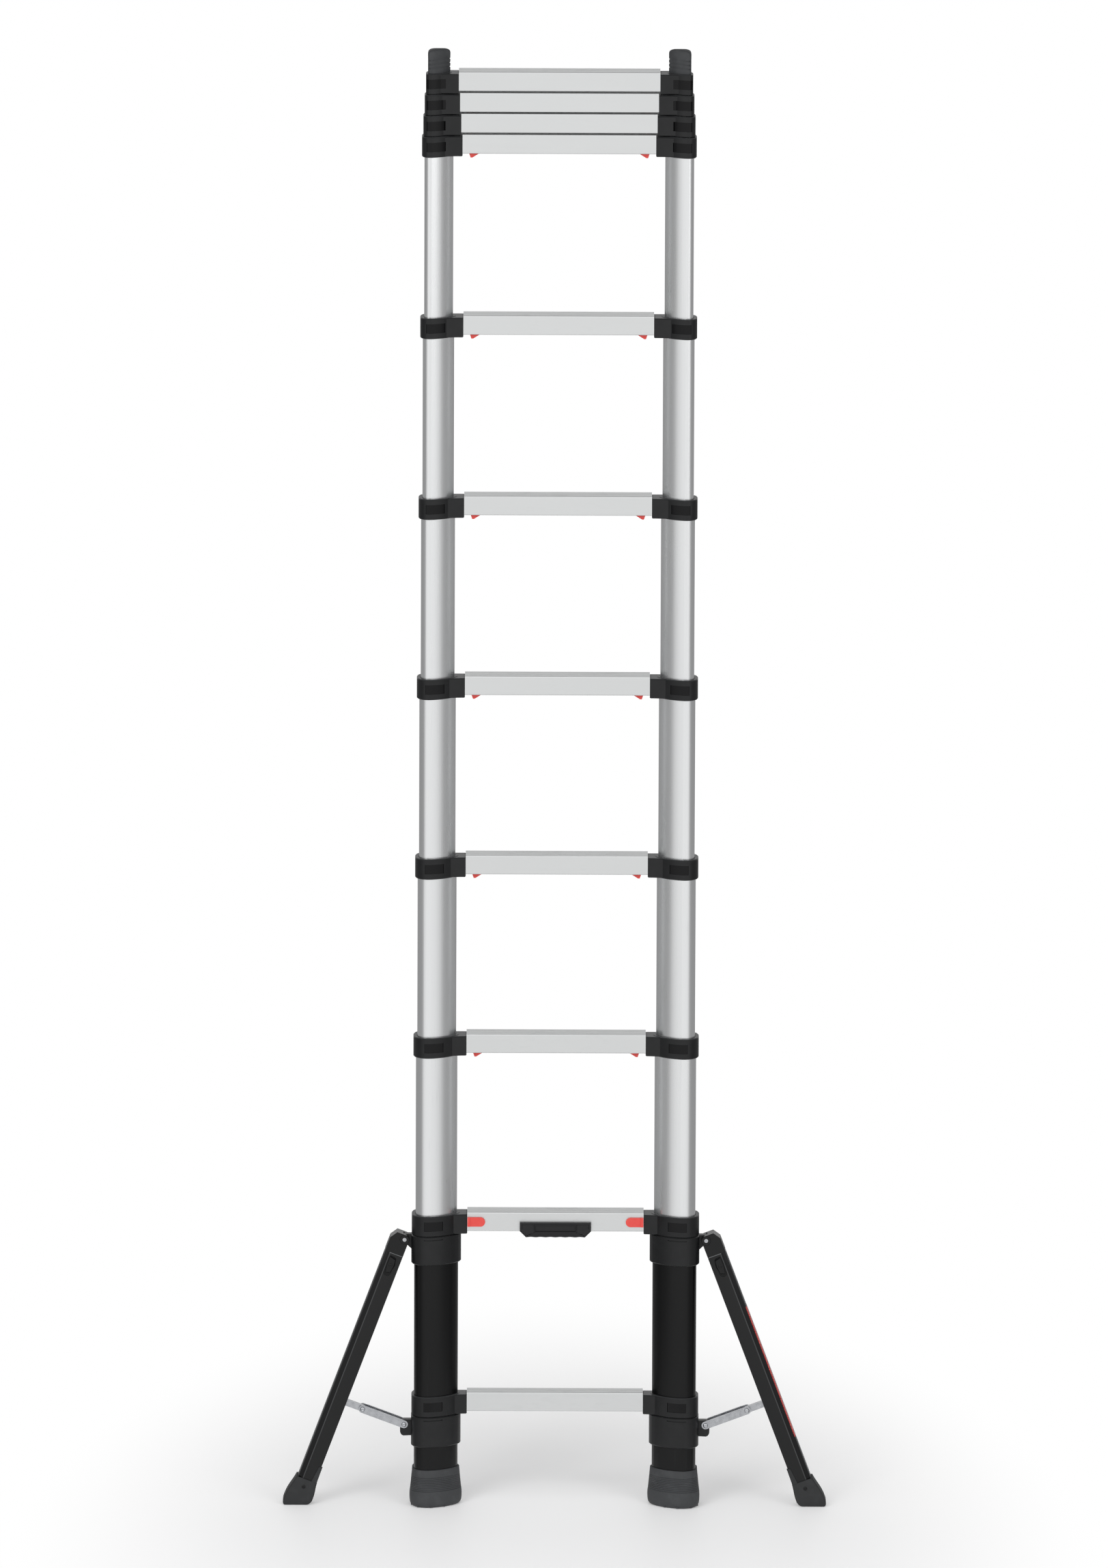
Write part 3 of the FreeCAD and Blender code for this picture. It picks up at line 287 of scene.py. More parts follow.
def grip_black():
    plastic = Finish("grip_black", (0.008, 0.008, 0.009), Roughness=0.38, Specular_IOR_Level=0.32)
    grain = plastic.grain(2400, detail=1)
    plastic.tint(plastic.grain(80), (0.007, 0.007, 0.008), (0.012, 0.012, 0.013))
    plastic.feed("Roughness", grain * 0.12 + 0.28)
    plastic.relief(grain, 0.00005, 0.4)
    low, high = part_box("badge")
    plastic.polished(plastic.x.between(-WINDOW_HALF, WINDOW_HALF) * (1 - plastic.y.rise(-1, 0))
                     * plastic.z.between(low.z + WINDOW_LOW, low.z + WINDOW_HIGH)
                     * plastic.y.rise(low.y + 0.0001, low.y + 0.0004))
    return plastic.material


def skin_over(name, rings, finish, body, sharp=32):
    """A closed skin through rings of points, the first and last filled, riding on a body of the frame."""
    mesh = bmesh.new()
    rows = [[mesh.verts.new(point) for point in ring] for ring in rings]
    count = len(rows[0])
    for lower, upper in zip(rows, rows[1:]):
        for i in range(count):
            j = (i + 1) % count
            mesh.faces.new((lower[i], lower[j], upper[j], upper[i]))
    mesh.faces.new(rows[0][::-1])
    mesh.faces.new(rows[-1])
    return fitted(name, mesh, finish, body, sharp)


def fitted(name, mesh, finish, body, sharp=32):
    """Turn a bmesh outwards, shade it smooth between sharp edges, and fix it to a body."""
    bmesh.ops.recalc_face_normals(mesh, faces=mesh.faces)
    for face in mesh.faces:
        face.smooth = True
    for edge in mesh.edges:
        if len(edge.link_faces) == 2 and edge.calc_face_angle(0) > math.radians(sharp):
            edge.smooth = False
    data = bpy.data.meshes.new(name)
    mesh.to_mesh(data)
    mesh.free()
    data.materials.append(finish)
    piece = bpy.data.objects.new(name, data)
    bpy.context.scene.collection.objects.link(piece)
    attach(piece, body)
    return piece


WINDOW_HALF, WINDOW_LOW, WINDOW_HIGH = 0.0335, 0.0095, 0.0195


def grip_plate():
    low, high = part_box("badge")
    half, top, bottom = high.x, high.z, low.z
    cut, rim, scallops, dip, steps = 0.010, 0.0011, 6, 0.0007, 10
    middle = (top + bottom) / 2
    outline = [(half, top), (half, bottom + cut)]
    for i in range(scallops * steps + 1):
        across = (half - cut) * (1 - 2 * i / (scallops * steps))
        outline.append((across, bottom + dip * (0.5 - 0.5 * math.cos(2 * math.pi * i / steps))))
    outline += [(-x, z) for x, z in outline[1::-1]]

    def ring(depth, inset):
        """The outline moved in by inset, at a depth behind the front face."""
        points = []
        for x, z in outline:
            across = x - math.copysign(inset, x) if abs(x) > half - cut - 0.001 else x
            points.append(Vector((across, low.y + depth, z - inset if z > middle else z + inset)))
        return points

    def window(depth, inset):
        points = []
        for x, z in outline:
            across = max(-1, min(1, x / (half - cut))) * (WINDOW_HALF - inset)
            level = WINDOW_HIGH - inset if z > middle else WINDOW_LOW + inset
            points.append(Vector((across, low.y + depth, bottom + level)))
        return points

    rings = [ring(high.y - low.y, 0), ring(rim, 0), ring(0.0003, 0.0004), ring(0, rim),
             ring(0, 0.0034), ring(0.0008, 0.0042), window(0.0008, -0.002), window(0, -0.0012),
             window(0, 0), window(0.0026, 0.0005)]
    plate = skin_over("grip_plate", rings, grip_black(), "base", 25)
    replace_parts(plate, "badge")


grip_plate()


# ---------------------------------------------------------------- boots and top caps
# Dark grey rubber. The boots under the base tubes flare to a rounded, cleated sole and are
# finely ribbed for grip; the caps close the innermost tubes.

def moulded_rubber(name, dark, light):
    rubber = Finish(name, dark, Roughness=0.70)
    grain = rubber.grain(1800)
    dust = rubber.grain(70, detail=3).rise(0.45, 0.75)
    rubber.tint(dust * 0.6, dark, light)
    rubber.feed("Roughness", grain * 0.15 + dust * 0.08 + 0.60)
    rubber.relief(grain, 0.00010)
    return rubber.material


def compass(angle):
    return Vector((math.cos(angle), math.sin(angle), 0))


def stile_outline(grow, steps=30):
    """Points round the tube's section about its axis: three corner arcs and three bulged sides."""
    corners = [(Vector((0.014, -0.009, 0)), 0.022 + grow), (Vector((0.015, 0.0096, 0)), 0.021 + grow),
               (Vector((-0.015, 0.0096, 0)), 0.021 + grow)]
    bulges = [0.260 + grow, 0.260 + grow, 0.072 + grow]
    middles = []
    for k in range(3):
        (first, r1), (second, r2) = corners[k], corners[(k + 1) % 3]
        reach1, reach2, gap = bulges[k] - r1, bulges[k] - r2, (second - first).length
        along = (reach1 ** 2 - reach2 ** 2 + gap ** 2) / (2 * gap)
        unit = (second - first) / gap
        aside = math.sqrt(reach1 ** 2 - along ** 2)
        middles.append(first + unit * along + Vector((-unit.y, unit.x, 0)) * aside)
    points = []
    for k in range(3):
        corner, radius = corners[k]
        following = corners[(k + 1) % 3][0]
        angles = [math.atan2(d.y, d.x) for d in (corner - middles[k - 1], corner - middles[k],
                                                 following - middles[k])]
        for centre, size, start, end in ((corner, radius, angles[0], angles[1]),
                                         (middles[k], bulges[k], angles[1], angles[2])):
            sweep = (end - start) % (2 * math.pi)
            points += [centre + compass(start + sweep * i / steps) * size for i in range(steps)]
    return points


GREY_RUBBER = moulded_rubber("grey_rubber", (0.036, 0.038, 0.041), (0.058, 0.061, 0.064))


def top_cap(word, side):
    """Domed cap on the innermost tube, with three rounded ribs and a bead where it meets the collar."""
    low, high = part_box("top_caps")
    outline = stile_outline(high.x - STILE - 0.036)
    reach, height, dome = high.x - STILE, high.z - low.z, 0.0095
    levels = [(0, 0), (0.0002, 0.0007), (0.0012, 0.0001)]
    for rib in range(3):
        foot = 0.0078 + 0.0066 * rib
        levels += [(foot, 0.0001), (foot + 0.0006, 0.0011), (foot + 0.0016, 0.0011), (foot + 0.0023, 0.0001)]
    for i in range(9):
        turn = math.pi / 2 * i / 8
        levels.append((height - dome + dome * math.sin(turn), reach * 0.88 * (1 - math.cos(turn)) ** 1.4))
    rings = []
    for z, inset in levels:
        keep = 1 - inset / reach
        rings.append([Vector((side * (STILE + p.x * keep), p.y * keep, low.z + z)) for p in outline])
    return skin_over("top_cap_" + word, rings, GREY_RUBBER, "section_9")


for word, side in SIDES:
    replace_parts(top_cap(word, side), "top_caps")


def boot(word, side):
    height, sole, widest, rim = 0.063, 0.008, 0.0070, 0.0026
    levels = [(0.0, 0.0014), (0.0012, 0.0034), (0.003, 0.0050), (0.006, 0.0062), (0.011, 0.0068),
              (0.017, widest), (0.022, 0.0068)]
    ribs, first_rib, last_rib, rib = 44, 5, 32, 0.0008
    for i in range(1, ribs + 1):
        part = i / ribs
        grow = 0.0068 + (rim - 0.0068) * part ** 0.85
        if first_rib < i < last_rib and i % 3 == 0:
            grow -= rib
        levels.append((0.022 + (height - 0.022) * part, grow))
    levels[-1] = (height - 0.0008, rim)
    levels.append((height, rim - 0.0008))
    levels += [(height, 0.0001), (sole, 0.0001)]
    rings = [[Vector((side * (STILE + p.x), p.y, z)) for p in stile_outline(grow)] for z, grow in levels]
    return skin_over("boot_" + word, rings, GREY_RUBBER, "base")


for word, side in SIDES:
    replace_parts(boot(word, side), "base_feet")


def group_tree(name, sockets):
    """An empty Geometry Nodes group with named inputs, and the fields that read them."""
    tree = bpy.data.node_groups.new(name, "GeometryNodeTree")
    for title, kind in sockets:
        tree.interface.new_socket(name=title, in_out="INPUT", socket_type="NodeSocket" + kind)
    tree.interface.new_socket(name="Result", in_out="OUTPUT", socket_type="NodeSocketGeometry")
    entry = tree.nodes.new("NodeGroupInput")
    return tree, {title: Field(tree, entry.outputs[title]) for title, kind in sockets}


def close_tree(tree, copies, finish):
    """End a group in Realize Instances and Set Material."""
    real = copies.add("GeometryNodeRealizeInstances", [("Geometry", copies)])
    made = real.add("GeometryNodeSetMaterial", [("Geometry", real), ("Material", finish)])
    tree.links.new(made.socket, tree.nodes.new("NodeGroupOutput").inputs[0])


def grown(name, seed, tree, values, body):
    """Run a group on a seed mesh, keep the plain mesh that it makes, and fix it to a body."""
    piece = bpy.data.objects.new(name, seed)
    bpy.context.scene.collection.objects.link(piece)
    modifier = piece.modifiers.new("grow", "NODES")
    modifier.node_group = tree
    for item in tree.interface.items_tree:
        if item.name in values:
            modifier[item.identifier] = values[item.name]
    settled = piece.evaluated_get(bpy.context.evaluated_depsgraph_get())
    mesh = bpy.data.meshes.new_from_object(settled)
    piece.modifiers.clear()
    piece.data = mesh
    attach(piece, body)
    return piece


def cleat_tree():
    """Blocks spaced along an edge chain, each turned to follow it."""
    tree, given = group_tree("cleats", [("Edge", "Geometry"), ("Cleat", "Object"), ("Count", "Int"),
                                        ("Finish", "Material")])
    chain = given["Edge"].add("GeometryNodeMeshToCurve", [("Mesh", given["Edge"])])
    spots = chain.add("GeometryNodeCurveToPoints", [("Curve", chain), ("Count", given["Count"])])
    turns = Field(tree, spots.socket.node.outputs["Rotation"])
    block = chain.add("GeometryNodeObjectInfo", [("Object", given["Cleat"])], output="Geometry")
    copies = spots.add("GeometryNodeInstanceOnPoints", [("Points", spots), ("Instance", block),
                                                        ("Rotation", turns)])
    close_tree(tree, copies, given["Finish"])
    return tree


def block_mesh(name, size, bevel):
    """A small block with its edges taken off."""
    mesh = bmesh.new()
    bmesh.ops.create_cube(mesh, size=1, matrix=Matrix.Diagonal((*size, 1)))
    bmesh.ops.bevel(mesh, geom=mesh.edges[:], offset=bevel, segments=1, affect="EDGES")
    data = bpy.data.meshes.new(name)
    mesh.to_mesh(data)
    mesh.free()
    return bpy.data.objects.new(name, data)


cleats = cleat_tree()
cleat = block_mesh("cleat_block", (0.0030, 0.0026, 0.0034), 0.0005)
CLEAT_LEVEL, CLEATS, TOE = 0.0020, 8, -0.012    # cleats run round the boot in front of the toe line
for word, side in SIDES:
    arc = [p for p in stile_outline(0.0042) if p.y < TOE]
    edge = bpy.data.meshes.new("cleat_edge")
    links = [(i, i + 1) for i in range(len(arc) - 1)]
    edge.from_pydata([(side * (STILE + p.x), p.y, CLEAT_LEVEL) for p in arc], links, [])
    grown("boot_cleats_" + word, edge, cleats, {"Cleat": cleat, "Count": CLEATS, "Finish": GREY_RUBBER},
          "base")
bpy.data.objects.remove(cleat)


# ---------------------------------------------------------------- leg clamps and hinge pins
# Two moulded clamps on each base tube carry a stabiliser leg: the upper one its hinge,
# the lower one its brace. The hinge pins are zinc-plated steel.

CLAMP_NYLON = moulded_black("clamp_nylon")
dress(CLAMP_NYLON, "upper_leg_clamps", "lower_leg_clamps")
dress(ZINC, "hinge_pins")


def ear_lobe(word, side):
    """Web under the lower clamp's ear: a flat lobe, rounded at its tip, moulded in one with the clamp."""
    x, z, drop, reach = 0.2485, 0.1356, 0.0190, 0.0075
    root, half, soft = STILE + 0.0375, 0.0061, 0.0009
    outline = [(root, z + 0.004), (root, z - drop)]
    for i in range(11):
        turn = compass(math.radians(-100 + 100 * i / 10)) * reach
        outline.append((x + turn.x * 0.85, z - drop + reach + turn.y * 1.1))
    outline.append((x + reach * 0.85, z + 0.001))
    middle = (x - 0.006, z - drop / 2)
    rings = []
    for y, inset in ((-half, soft), (-half + soft, 0), (half - soft, 0), (half, soft)):
        ring = []
        for px, pz in outline:
            away = math.hypot(px - middle[0], pz - middle[1])
            keep = (away - inset) / away
            ring.append(Vector((side * (middle[0] + (px - middle[0]) * keep), y,
                                middle[1] + (pz - middle[1]) * keep)))
        rings.append(ring)
    skin_over("ear_lobe_" + word, rings, CLAMP_NYLON, "base")


for word, side in SIDES:
    ear_lobe(word, side)


# ---------------------------------------------------------------- stabiliser legs
# Each leg is a bent and coated channel, open towards the ladder, with its outer corners bevelled.
# A cast fork hinges it to the upper clamp, a sprung catch is screwed to its front, and a rubber
# shoe ends it.

def cast_black():
    cast = Finish("cast_black", (0.0045, 0.0047, 0.005), Roughness=0.27, Specular_IOR_Level=0.30)
    peel = cast.grain(700)
    scuff = cast.grain(240, (1, 1, 0.3), 3).rise(0.64, 0.80)
    cast.tint(scuff * 0.4, (0.004, 0.0042, 0.0045), (0.020, 0.021, 0.022))
    cast.feed("Roughness", peel * 0.10 + scuff * 0.2 + 0.22)
    cast.relief(peel, 0.00008)
    return cast.material


SPLAY = math.radians(20.5)
PIVOT = Vector((0.248, 0, 0.449))
INNER, OUTER, FRONT, LEG_LENGTH = -0.0075, 0.0235, -0.014, 0.48238


def leg_coat():
    """The tube's powder coat, glossier on the bevelled corner, with painted highlight lines along both edges
    of the bevel and a light grey line across the channel's top end.
    """
    coat = Finish("leg_coat", (0.003, 0.0032, 0.0035), Roughness=0.34, Specular_IOR_Level=0.34)
    outwards = abs(coat.x) - PIVOT.x
    across = outwards * math.cos(SPLAY) + (coat.z - PIVOT.z) * math.sin(SPLAY)
    # Painted highlights: thin lighter lines tinted along both edges of the bevel.
    bevel_edge_highlights = across.between(OUTER - 0.0096, OUTER - 0.0080) + across.between(OUTER - 0.0012, OUTER + 0.0002)
    down = outwards * math.sin(SPLAY) - (coat.z - PIVOT.z) * math.cos(SPLAY)
    cut_end = down.between(0.0270, 0.0290)
    peel = coat.grain(1400)
    coat.tint(bevel_edge_highlights * 0.25 + cut_end * 0.8, (0.0030, 0.0032, 0.0035), (0.16, 0.165, 0.17))
    coat.feed("Roughness", peel * 0.10 + 0.28)
    coat.relief(peel, 0.00004)
    coat.polished(across.between(OUTER - 0.0080, OUTER - 0.0012) * (1 - coat.y.rise(-0.002, 0.002)))
    return coat.material


def on_leg(side, across, back, down):
    """A point given along the leg's own directions from its pivot: outwards, backwards and down the leg."""
    x = PIVOT.x + across * math.cos(SPLAY) + down * math.sin(SPLAY)
    z = PIVOT.z + across * math.sin(SPLAY) - down * math.cos(SPLAY)
    return Vector((side * x, back, z))


CAST = cast_black()
dress(CAST, "leg_hinge_head_left", "leg_hinge_head_right")


def leg_channel(word, side):
    wall, bevel, slope, start, end = 0.0016, 0.0085, 0.0042, 0.028, LEG_LENGTH - 0.020
    outside = [(INNER, FRONT), (OUTER - bevel, FRONT), (OUTER, FRONT + slope), (OUTER, -FRONT - slope),
               (OUTER - bevel, -FRONT), (INNER, -FRONT)]
    inside = [(INNER, -FRONT - wall), (OUTER - bevel - wall * 0.2, -FRONT - wall),
              (OUTER - wall, -FRONT - slope - wall * 0.7), (OUTER - wall, FRONT + slope + wall * 0.7),
              (OUTER - bevel - wall * 0.2, FRONT + wall), (INNER, FRONT + wall)]
    mesh = bmesh.new()
    rows = [[mesh.verts.new(on_leg(side, a, b, down)) for a, b in outside + inside] for down in (start, end)]
    count = len(rows[0])
    for i in range(count):
        j = (i + 1) % count
        mesh.faces.new((rows[0][i], rows[0][j], rows[1][j], rows[1][i]))
    for row in rows:
        for i in range(count // 2 - 1):
            mesh.faces.new((row[i], row[i + 1], row[count - 2 - i], row[count - 1 - i]))
    bmesh.ops.recalc_face_normals(mesh, faces=mesh.faces)
    corners = [e for e in mesh.edges if e.calc_length() > 0.4 and e.calc_face_angle(0) > 0.2]
    bmesh.ops.bevel(mesh, geom=corners, offset=0.0006, segments=2, affect="EDGES", clamp_overlap=True)
    piece = fitted("leg_channel_" + word, mesh, LEG_COAT, "leg_" + word, 40)
    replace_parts(piece, "leg_tube_" + word)


LEG_COAT = leg_coat()
SHOE_RUBBER = moulded_rubber("shoe_rubber", (0.014, 0.015, 0.016), (0.030, 0.031, 0.033))


def rounded_corners(x0, x1, y0, y1, radius, steps=5):
    """A rectangle's outline with rounded corners, counter-clockwise."""
    points = []
    for cx, cy, start in ((x1 - radius, y0 + radius, -90), (x1 - radius, y1 - radius, 0),
                          (x0 + radius, y1 - radius, 90), (x0 + radius, y0 + radius, 180)):
        for i in range(steps + 1):
            turn = compass(math.radians(start + 90 * i / steps)) * radius
            points.append((cx + turn.x, cy + turn.y))
    return points


def leg_shoe(word, side):
    """Moulded shoe: it flares to a flat sole with rounded ends. The tongue up its inner side is a separate
    plate, added after it.
    """
    wall, flare, length, plug = 0.0026, 0.0066, 0.046, 0.020
    levels = [0, 0.015, 0.04] + [0.10 + 0.08 * i for i in range(11)] + [0.95, 0.985, 1]
    rings = []
    for part in levels:
        swell = flare * math.sin(min(part, 0.70) / 0.70 * math.pi / 2) ** 1.6
        tuck = 0.0040 * max(0, (part - 0.80) / 0.20) ** 2
        lip = 0.0006 if part in (0, 1) else 0
        x0, x1 = INNER - wall - swell * 0.45 + tuck + lip, OUTER + wall + swell - tuck - lip
        y = FRONT - wall + lip + tuck * 0.35
        ring = []
        for across, back in rounded_corners(x0, x1, y, -y, 0.0035):
            top = LEG_LENGTH - length
            sole = (PIVOT.z + across * math.sin(SPLAY)) / math.cos(SPLAY)
            ring.append(on_leg(side, across, back, top + (sole - top) * part))
        rings.append(ring)
    mouth = rounded_corners(INNER, OUTER, FRONT, -FRONT, 0.001)
    inner, floor = ([on_leg(side, a, b, LEG_LENGTH - up) for a, b in mouth] for up in (length, plug))
    piece = skin_over("leg_shoe_" + word, [floor, inner] + rings, SHOE_RUBBER, "leg_" + word)
    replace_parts(piece, "leg_foot_" + word)


def raised_plate(name, side, outline, low, high, edge, finish, body):
    """A flat plate on the leg's front, from low to high in front of it, with a bevelled rim."""
    def shrunk(inset):
        middle = [sum(p[k] for p in outline) / len(outline) for k in (0, 1)]
        pulled = []
        for across, down in outline:
            away = math.hypot(across - middle[0], down - middle[1])
            keep = (away - inset) / away
            pulled.append((middle[0] + (across - middle[0]) * keep, middle[1] + (down - middle[1]) * keep))
        return pulled
    rings = [[on_leg(side, a, FRONT - depth, d) for a, d in shrunk(inset)]
             for depth, inset in ((low, 0), (high - edge, 0), (high, edge))]
    return skin_over(name, rings, finish, body, 25)


def catch(word, side):
    """Hexagonal catch plate over a thinner backing plate with rounded ends."""
    backing = [(0.0075 + 0.0062 * math.cos(t), 0.0500 + (0.011 if math.sin(t) > 0 else -0.011)
                + 0.0062 * math.sin(t)) for t in [math.pi * i / 10 for i in range(20)]]
    raised_plate("catch_backing_" + word, side, backing, -0.0004, 0.0010, 0.0005, BLACK_COAT,
                 "leg_" + word)
    lever = [(0.0125, 0.0330), (0.0020, 0.0355), (0.0000, 0.0470), (0.0030, 0.0600), (0.0105, 0.0625),
             (0.0135, 0.0490)]
    raised_plate("catch_lever_" + word, side, lever, 0.0008, 0.0044, 0.0016, CAST,
                 "leg_" + word)


def ring_boss(name, side, across, down, inner, outer, low, high, finish, body, steps=28):
    """A turned ring standing on the leg's front."""
    profile = [(inner, low), (outer, low), (outer, high - 0.0006), (outer - 0.0006, high),
               (inner + 0.0003, high), (inner, high - 0.0003)]
    mesh = bmesh.new()
    rows = []
    for i in range(steps):
        turn = compass(2 * math.pi * i / steps)
        rows.append([mesh.verts.new(on_leg(side, across + turn.x * r, FRONT - depth, down + turn.y * r))
                     for r, depth in profile])
    for i in range(steps):
        for k in range(len(profile)):
            near, far = rows[i], rows[(i + 1) % steps]
            following = (k + 1) % len(profile)
            mesh.faces.new((near[k], near[following], far[following], far[k]))
    return fitted(name, mesh, finish, body, 30)


for word, side in SIDES:
    leg_channel(word, side)
    leg_shoe(word, side)
    catch(word, side)
    ring_boss("hinge_boss_" + word, side, 0, 0, 0.0036, 0.0078, -0.0004, 0.0010, CAST, "leg_" + word)
    tongue = [(INNER - 0.0015, LEG_LENGTH - 0.075), (INNER + 0.0040, LEG_LENGTH - 0.073),
              (INNER + 0.0075, LEG_LENGTH - 0.044), (INNER - 0.0020, LEG_LENGTH - 0.044)]
    raised_plate("shoe_tongue_" + word, side, tongue, -0.0003, 0.0020, 0.0006, SHOE_RUBBER, "leg_" + word)


def red_tape():
    tape = Finish("red_tape", (0.42, 0.02, 0.02), Roughness=0.25, Coat_Roughness=0.1, Coat_Weight=0.6)
    cells = tape.place.add("ShaderNodeTexVoronoi", [("Vector", tape.place), ("Scale", 330.0)],
                           feature="DISTANCE_TO_EDGE")
    seam = 1 - cells.rise(0.02, 0.10)
    tape.tint(seam, (0.42, 0.018, 0.018), (0.62, 0.10, 0.08))
    tape.feed("Metallic", 0.45 - seam * 0.4)
    tape.relief(seam, 0.00005, 0.4)
    return tape.material


def warning_tape(word, side):
    """Red reflective tape down the outer face, folded just round on to the bevel."""
    start, end, thick, fold, slope, bevel = 0.128, 0.362, 0.0003, 0.0016, 0.0042, 0.0085
    face = [(OUTER - fold, FRONT + slope - fold * slope / bevel), (OUTER, FRONT + slope),
            (OUTER, -FRONT - slope)]
    section = [(a + thick, b - thick) for a, b in face]
    section += [(a - thick / 2, b + thick / 2) for a, b in face[::-1]]
    rings = [[on_leg(side, a, b, down) for a, b in section] for down in (start, end)]
    skin_over("warning_tape_" + word, rings, red_tape(), "leg_" + word)


warning_tape("right", 1)


# ---------------------------------------------------------------- braces, rivets and screws
# Pressed zinc-plated links hold each leg open. They turn on domed rivets; small black
# socket screws hold the catches and the shoes.

dress(ZINC, *["brace_%s_link_%s" % (link, word) for link in ("outer", "inner") for word, side in SIDES])


def fixing_mesh(name, dome, socket):
    """A turned head of radius 1 facing -Y, domed, with a six-lobed socket or a dimple."""
    steps = 24
    profile = [(0.98, 0.05), (1.0, -0.12), (0.92, -0.35), (0.74, -0.35 - dome * 0.6), (0.48, -0.35 - dome),
               (0.40, -0.35 - dome), (0.34, -0.35 - dome + socket)]
    mesh = bmesh.new()
    rows = []
    for k, (radius, y) in enumerate(profile):
        lobed = 0.16 if k >= 5 and socket > 0.1 else 0
        rows.append([mesh.verts.new((radius * (1 + lobed * math.cos(6 * t)) * math.cos(t), y,
                                     radius * (1 + lobed * math.cos(6 * t)) * math.sin(t)))
                     for t in [2 * math.pi * i / steps for i in range(steps)]])
    for near, far in zip(rows, rows[1:]):
        for i in range(steps):
            j = (i + 1) % steps
            mesh.faces.new((near[i], near[j], far[j], far[i]))
    mesh.faces.new(rows[0])
    mesh.faces.new(rows[-1])
    bmesh.ops.recalc_face_normals(mesh, faces=mesh.faces)
    for face in mesh.faces:
        face.smooth = len(face.verts) == 4
    data = bpy.data.meshes.new(name)
    mesh.to_mesh(data)
    mesh.free()
    return bpy.data.objects.new(name, data)


def fixing_tree():
    """The same head at each of a set of points, scaled to its radius."""
    tree, given = group_tree("fixings", [("Places", "Geometry"), ("Head", "Object"), ("Radius", "Float"),
                                         ("Finish", "Material")])
    head = given["Places"].add("GeometryNodeObjectInfo", [("Object", given["Head"])], output="Geometry")
    copies = head.add("GeometryNodeInstanceOnPoints", [("Points", given["Places"]), ("Instance", head),
                                                       ("Scale", given["Radius"])])
    close_tree(tree, copies, given["Finish"])
    return tree


fixings = fixing_tree()
rivet, screw = fixing_mesh("rivet_head", 0.28, 0.10), fixing_mesh("screw_head", 0.10, 0.30)


def fixed(name, head, radius, finish, places, body):
    seed = bpy.data.meshes.new(name + "_places")
    seed.from_pydata(places, [], [])
    grown(name, seed, fixings, {"Head": head, "Radius": radius, "Finish": finish}, body)


for word, side in SIDES:
    catch_screw = on_leg(side, 0.0068, FRONT - 0.0041, 0.0475)
    shoe_screw = on_leg(side, 0.0085, FRONT - 0.0026, LEG_LENGTH - 0.0330)
    fixed("leg_screws_" + word, screw, 0.0030, CAST, [catch_screw, shoe_screw],
          "leg_" + word)
    ear, knee = (side * 0.2485, -0.0094, 0.1356), (side * 0.3165, -0.0094, 0.1610)
    fixed("brace_rivets_" + word, rivet, 0.0042, ZINC, [ear, knee], "brace_outer_link_" + word)
for template in (rivet, screw):
    bpy.data.objects.remove(template)


# ---------------------------------------------------------------- floor, studio and camera
# A pale floor that fades to plain white, soft light from in front, and a long lens from above.

def pale_floor():
    bpy.ops.mesh.primitive_plane_add(size=400, location=(0, 0, -0.0002))
    floor = bpy.context.object
    floor.name = "floor"
    paint = Finish("floor_paint", (0.93, 0.93, 0.935), Roughness=0.55, Specular_IOR_Level=0.2,
                   Emission_Strength=0.17)
    paint.inputs["Emission Color"].default_value = (1, 1, 1, 1)
    seen = paint.place.add("ShaderNodeLightPath")
    ahead = -paint.y / (paint.x * paint.x + paint.y * paint.y).root()
    glow = ahead.rise(0.35, 0.97) * 0.30 + 0.33
    near = paint.y + 0.55
    away = paint.x * paint.x * 1.7 + near * near * 0.34
    away = 1 - (1 - away.root().rise(0.50, 1.20)) * (1 - (-paint.y).rise(0.55, 0.78))
    strength = seen * (1 - glow) + glow
    white = paint.place.add("ShaderNodeEmission", [("Color", (1, 1, 1, 1)), ("Strength", strength)])
    mixed = paint.place.add("ShaderNodeMixShader", [(0, away), (1, paint.shader), (2, white)])
    paint.tree.links.new(mixed.socket, paint.tree.nodes["Material Output"].inputs["Surface"])
    floor.data.materials.append(paint.material)


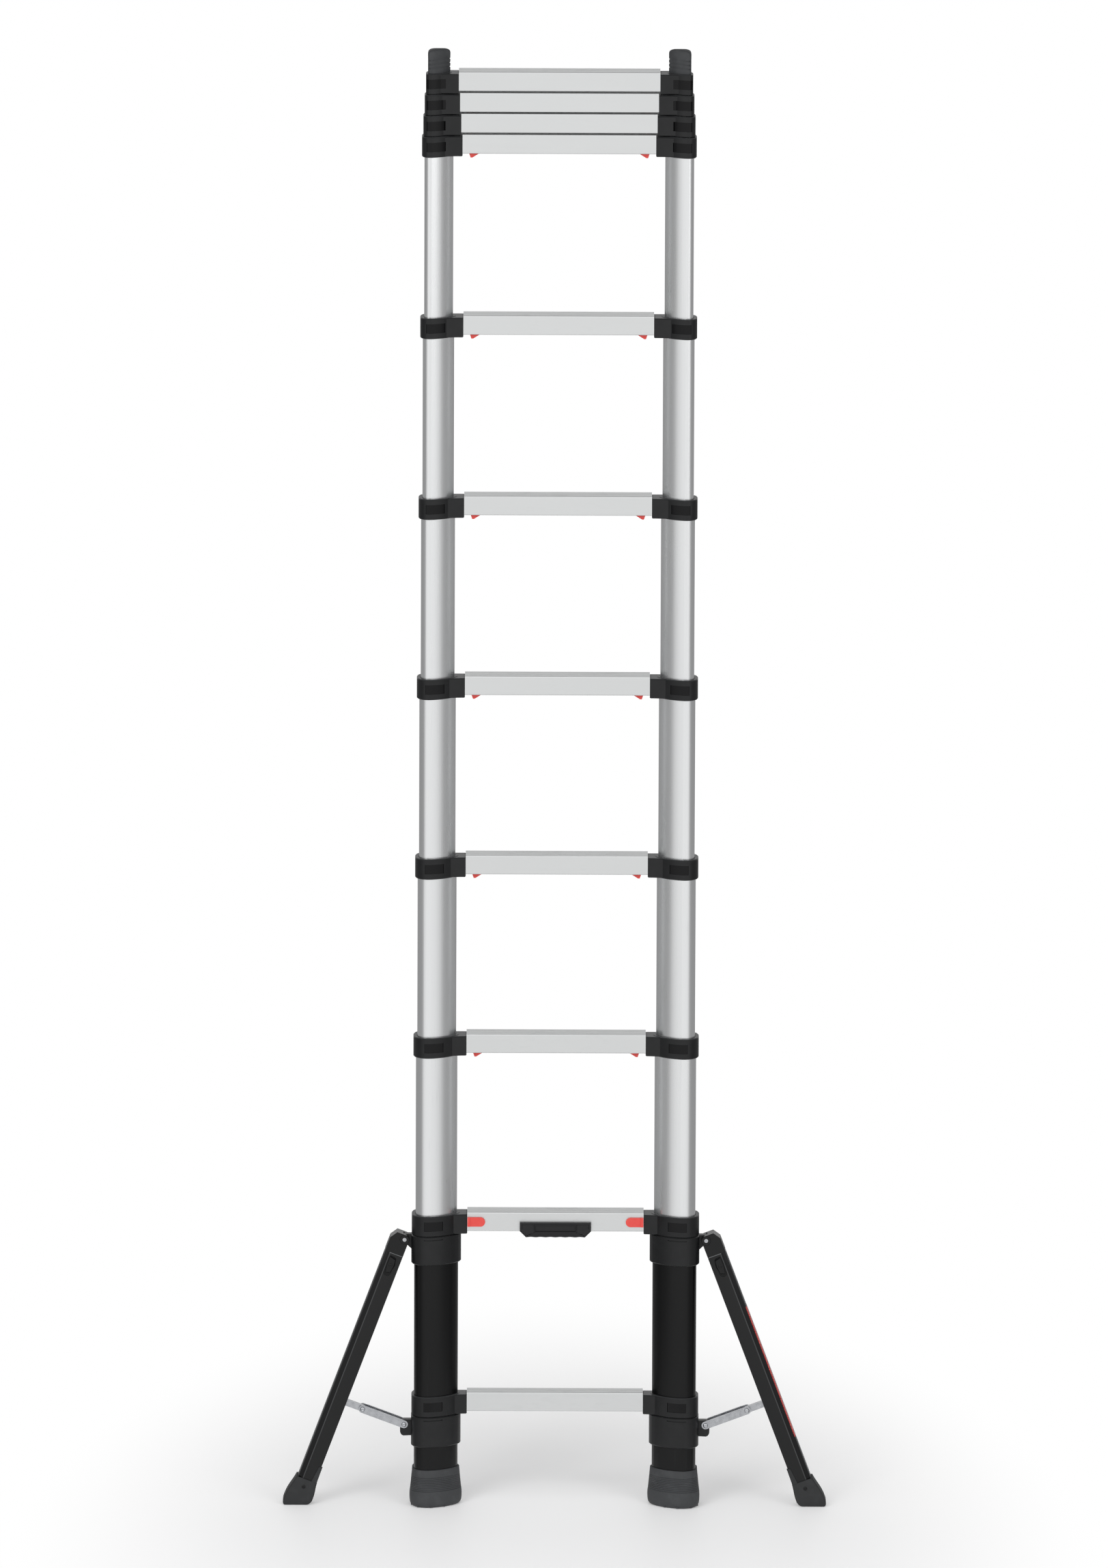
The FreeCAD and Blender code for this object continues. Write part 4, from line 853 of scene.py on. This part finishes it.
def studio():
    """A dim surround, brighter ahead of and behind the ladder than beside it, and white to the camera."""
    world = bpy.data.worlds.new("studio")
    bpy.context.scene.world = world
    world.use_nodes = True
    tree = world.node_tree
    background = tree.nodes["Background"]
    background.inputs["Color"].default_value = (1, 1, 1, 1)
    start = Field(tree, background.outputs[0])
    direction = start.add("ShaderNodeTexCoord", output="Generated")
    y = start.add("ShaderNodeSeparateXYZ", [(0, direction)], output=1)
    seen = start.add("ShaderNodeLightPath")
    lit = (-y).rise(-0.1, 0.95) * 0.50 + y.rise(0.5, 1.0) * 0.50 + 0.34
    tree.links.new((lit * (1 - seen) + seen).socket, background.inputs["Strength"])


def lamp(name, where, towards, size, power):
    light = bpy.data.lights.new(name, "AREA")
    light.shape, light.size, light.size_y, light.energy = "RECTANGLE", *size, power
    holder = bpy.data.objects.new(name, light)
    holder.location = where
    holder.rotation_euler = (Vector(towards) - Vector(where)).to_track_quat("-Z", "Y").to_euler()
    holder.visible_camera = False
    bpy.context.scene.collection.objects.link(holder)


def camera():
    back, up, aim, aside, lean = 36.0, 8.86, 1.213, -0.005, 0.21
    lens = bpy.data.cameras.new("camera")
    lens.sensor_width, lens.lens, lens.clip_end = 36, 516, 500
    viewer = bpy.data.objects.new("camera", lens)
    viewer.location = (0, -back, up)
    look = (Vector((aside, 0, aim)) - viewer.location).to_track_quat("-Z", "Y").to_matrix()
    viewer.rotation_euler = (look @ Matrix.Rotation(math.radians(lean), 3, "Z")).to_euler()
    bpy.context.scene.collection.objects.link(viewer)
    bpy.context.scene.camera = viewer


pale_floor()
studio()
lamp("key", (-3.2, -5.5, 4.6), (0, 0, 1.2), (2.6, 3.4), 110)
lamp("fill", (3.6, -5.0, 3.2), (0, 0, 1.2), (2.2, 3.2), 40)
lamp("panel", (0, -0.80, 1.25), (0, 0, 1.25), (2.4, 2.9), 6.0)
camera()
colours = bpy.context.scene.view_settings
colours.view_transform, colours.look, colours.exposure, colours.gamma = "Standard", "None", 0, 1

bpy.context.view_layer.update()
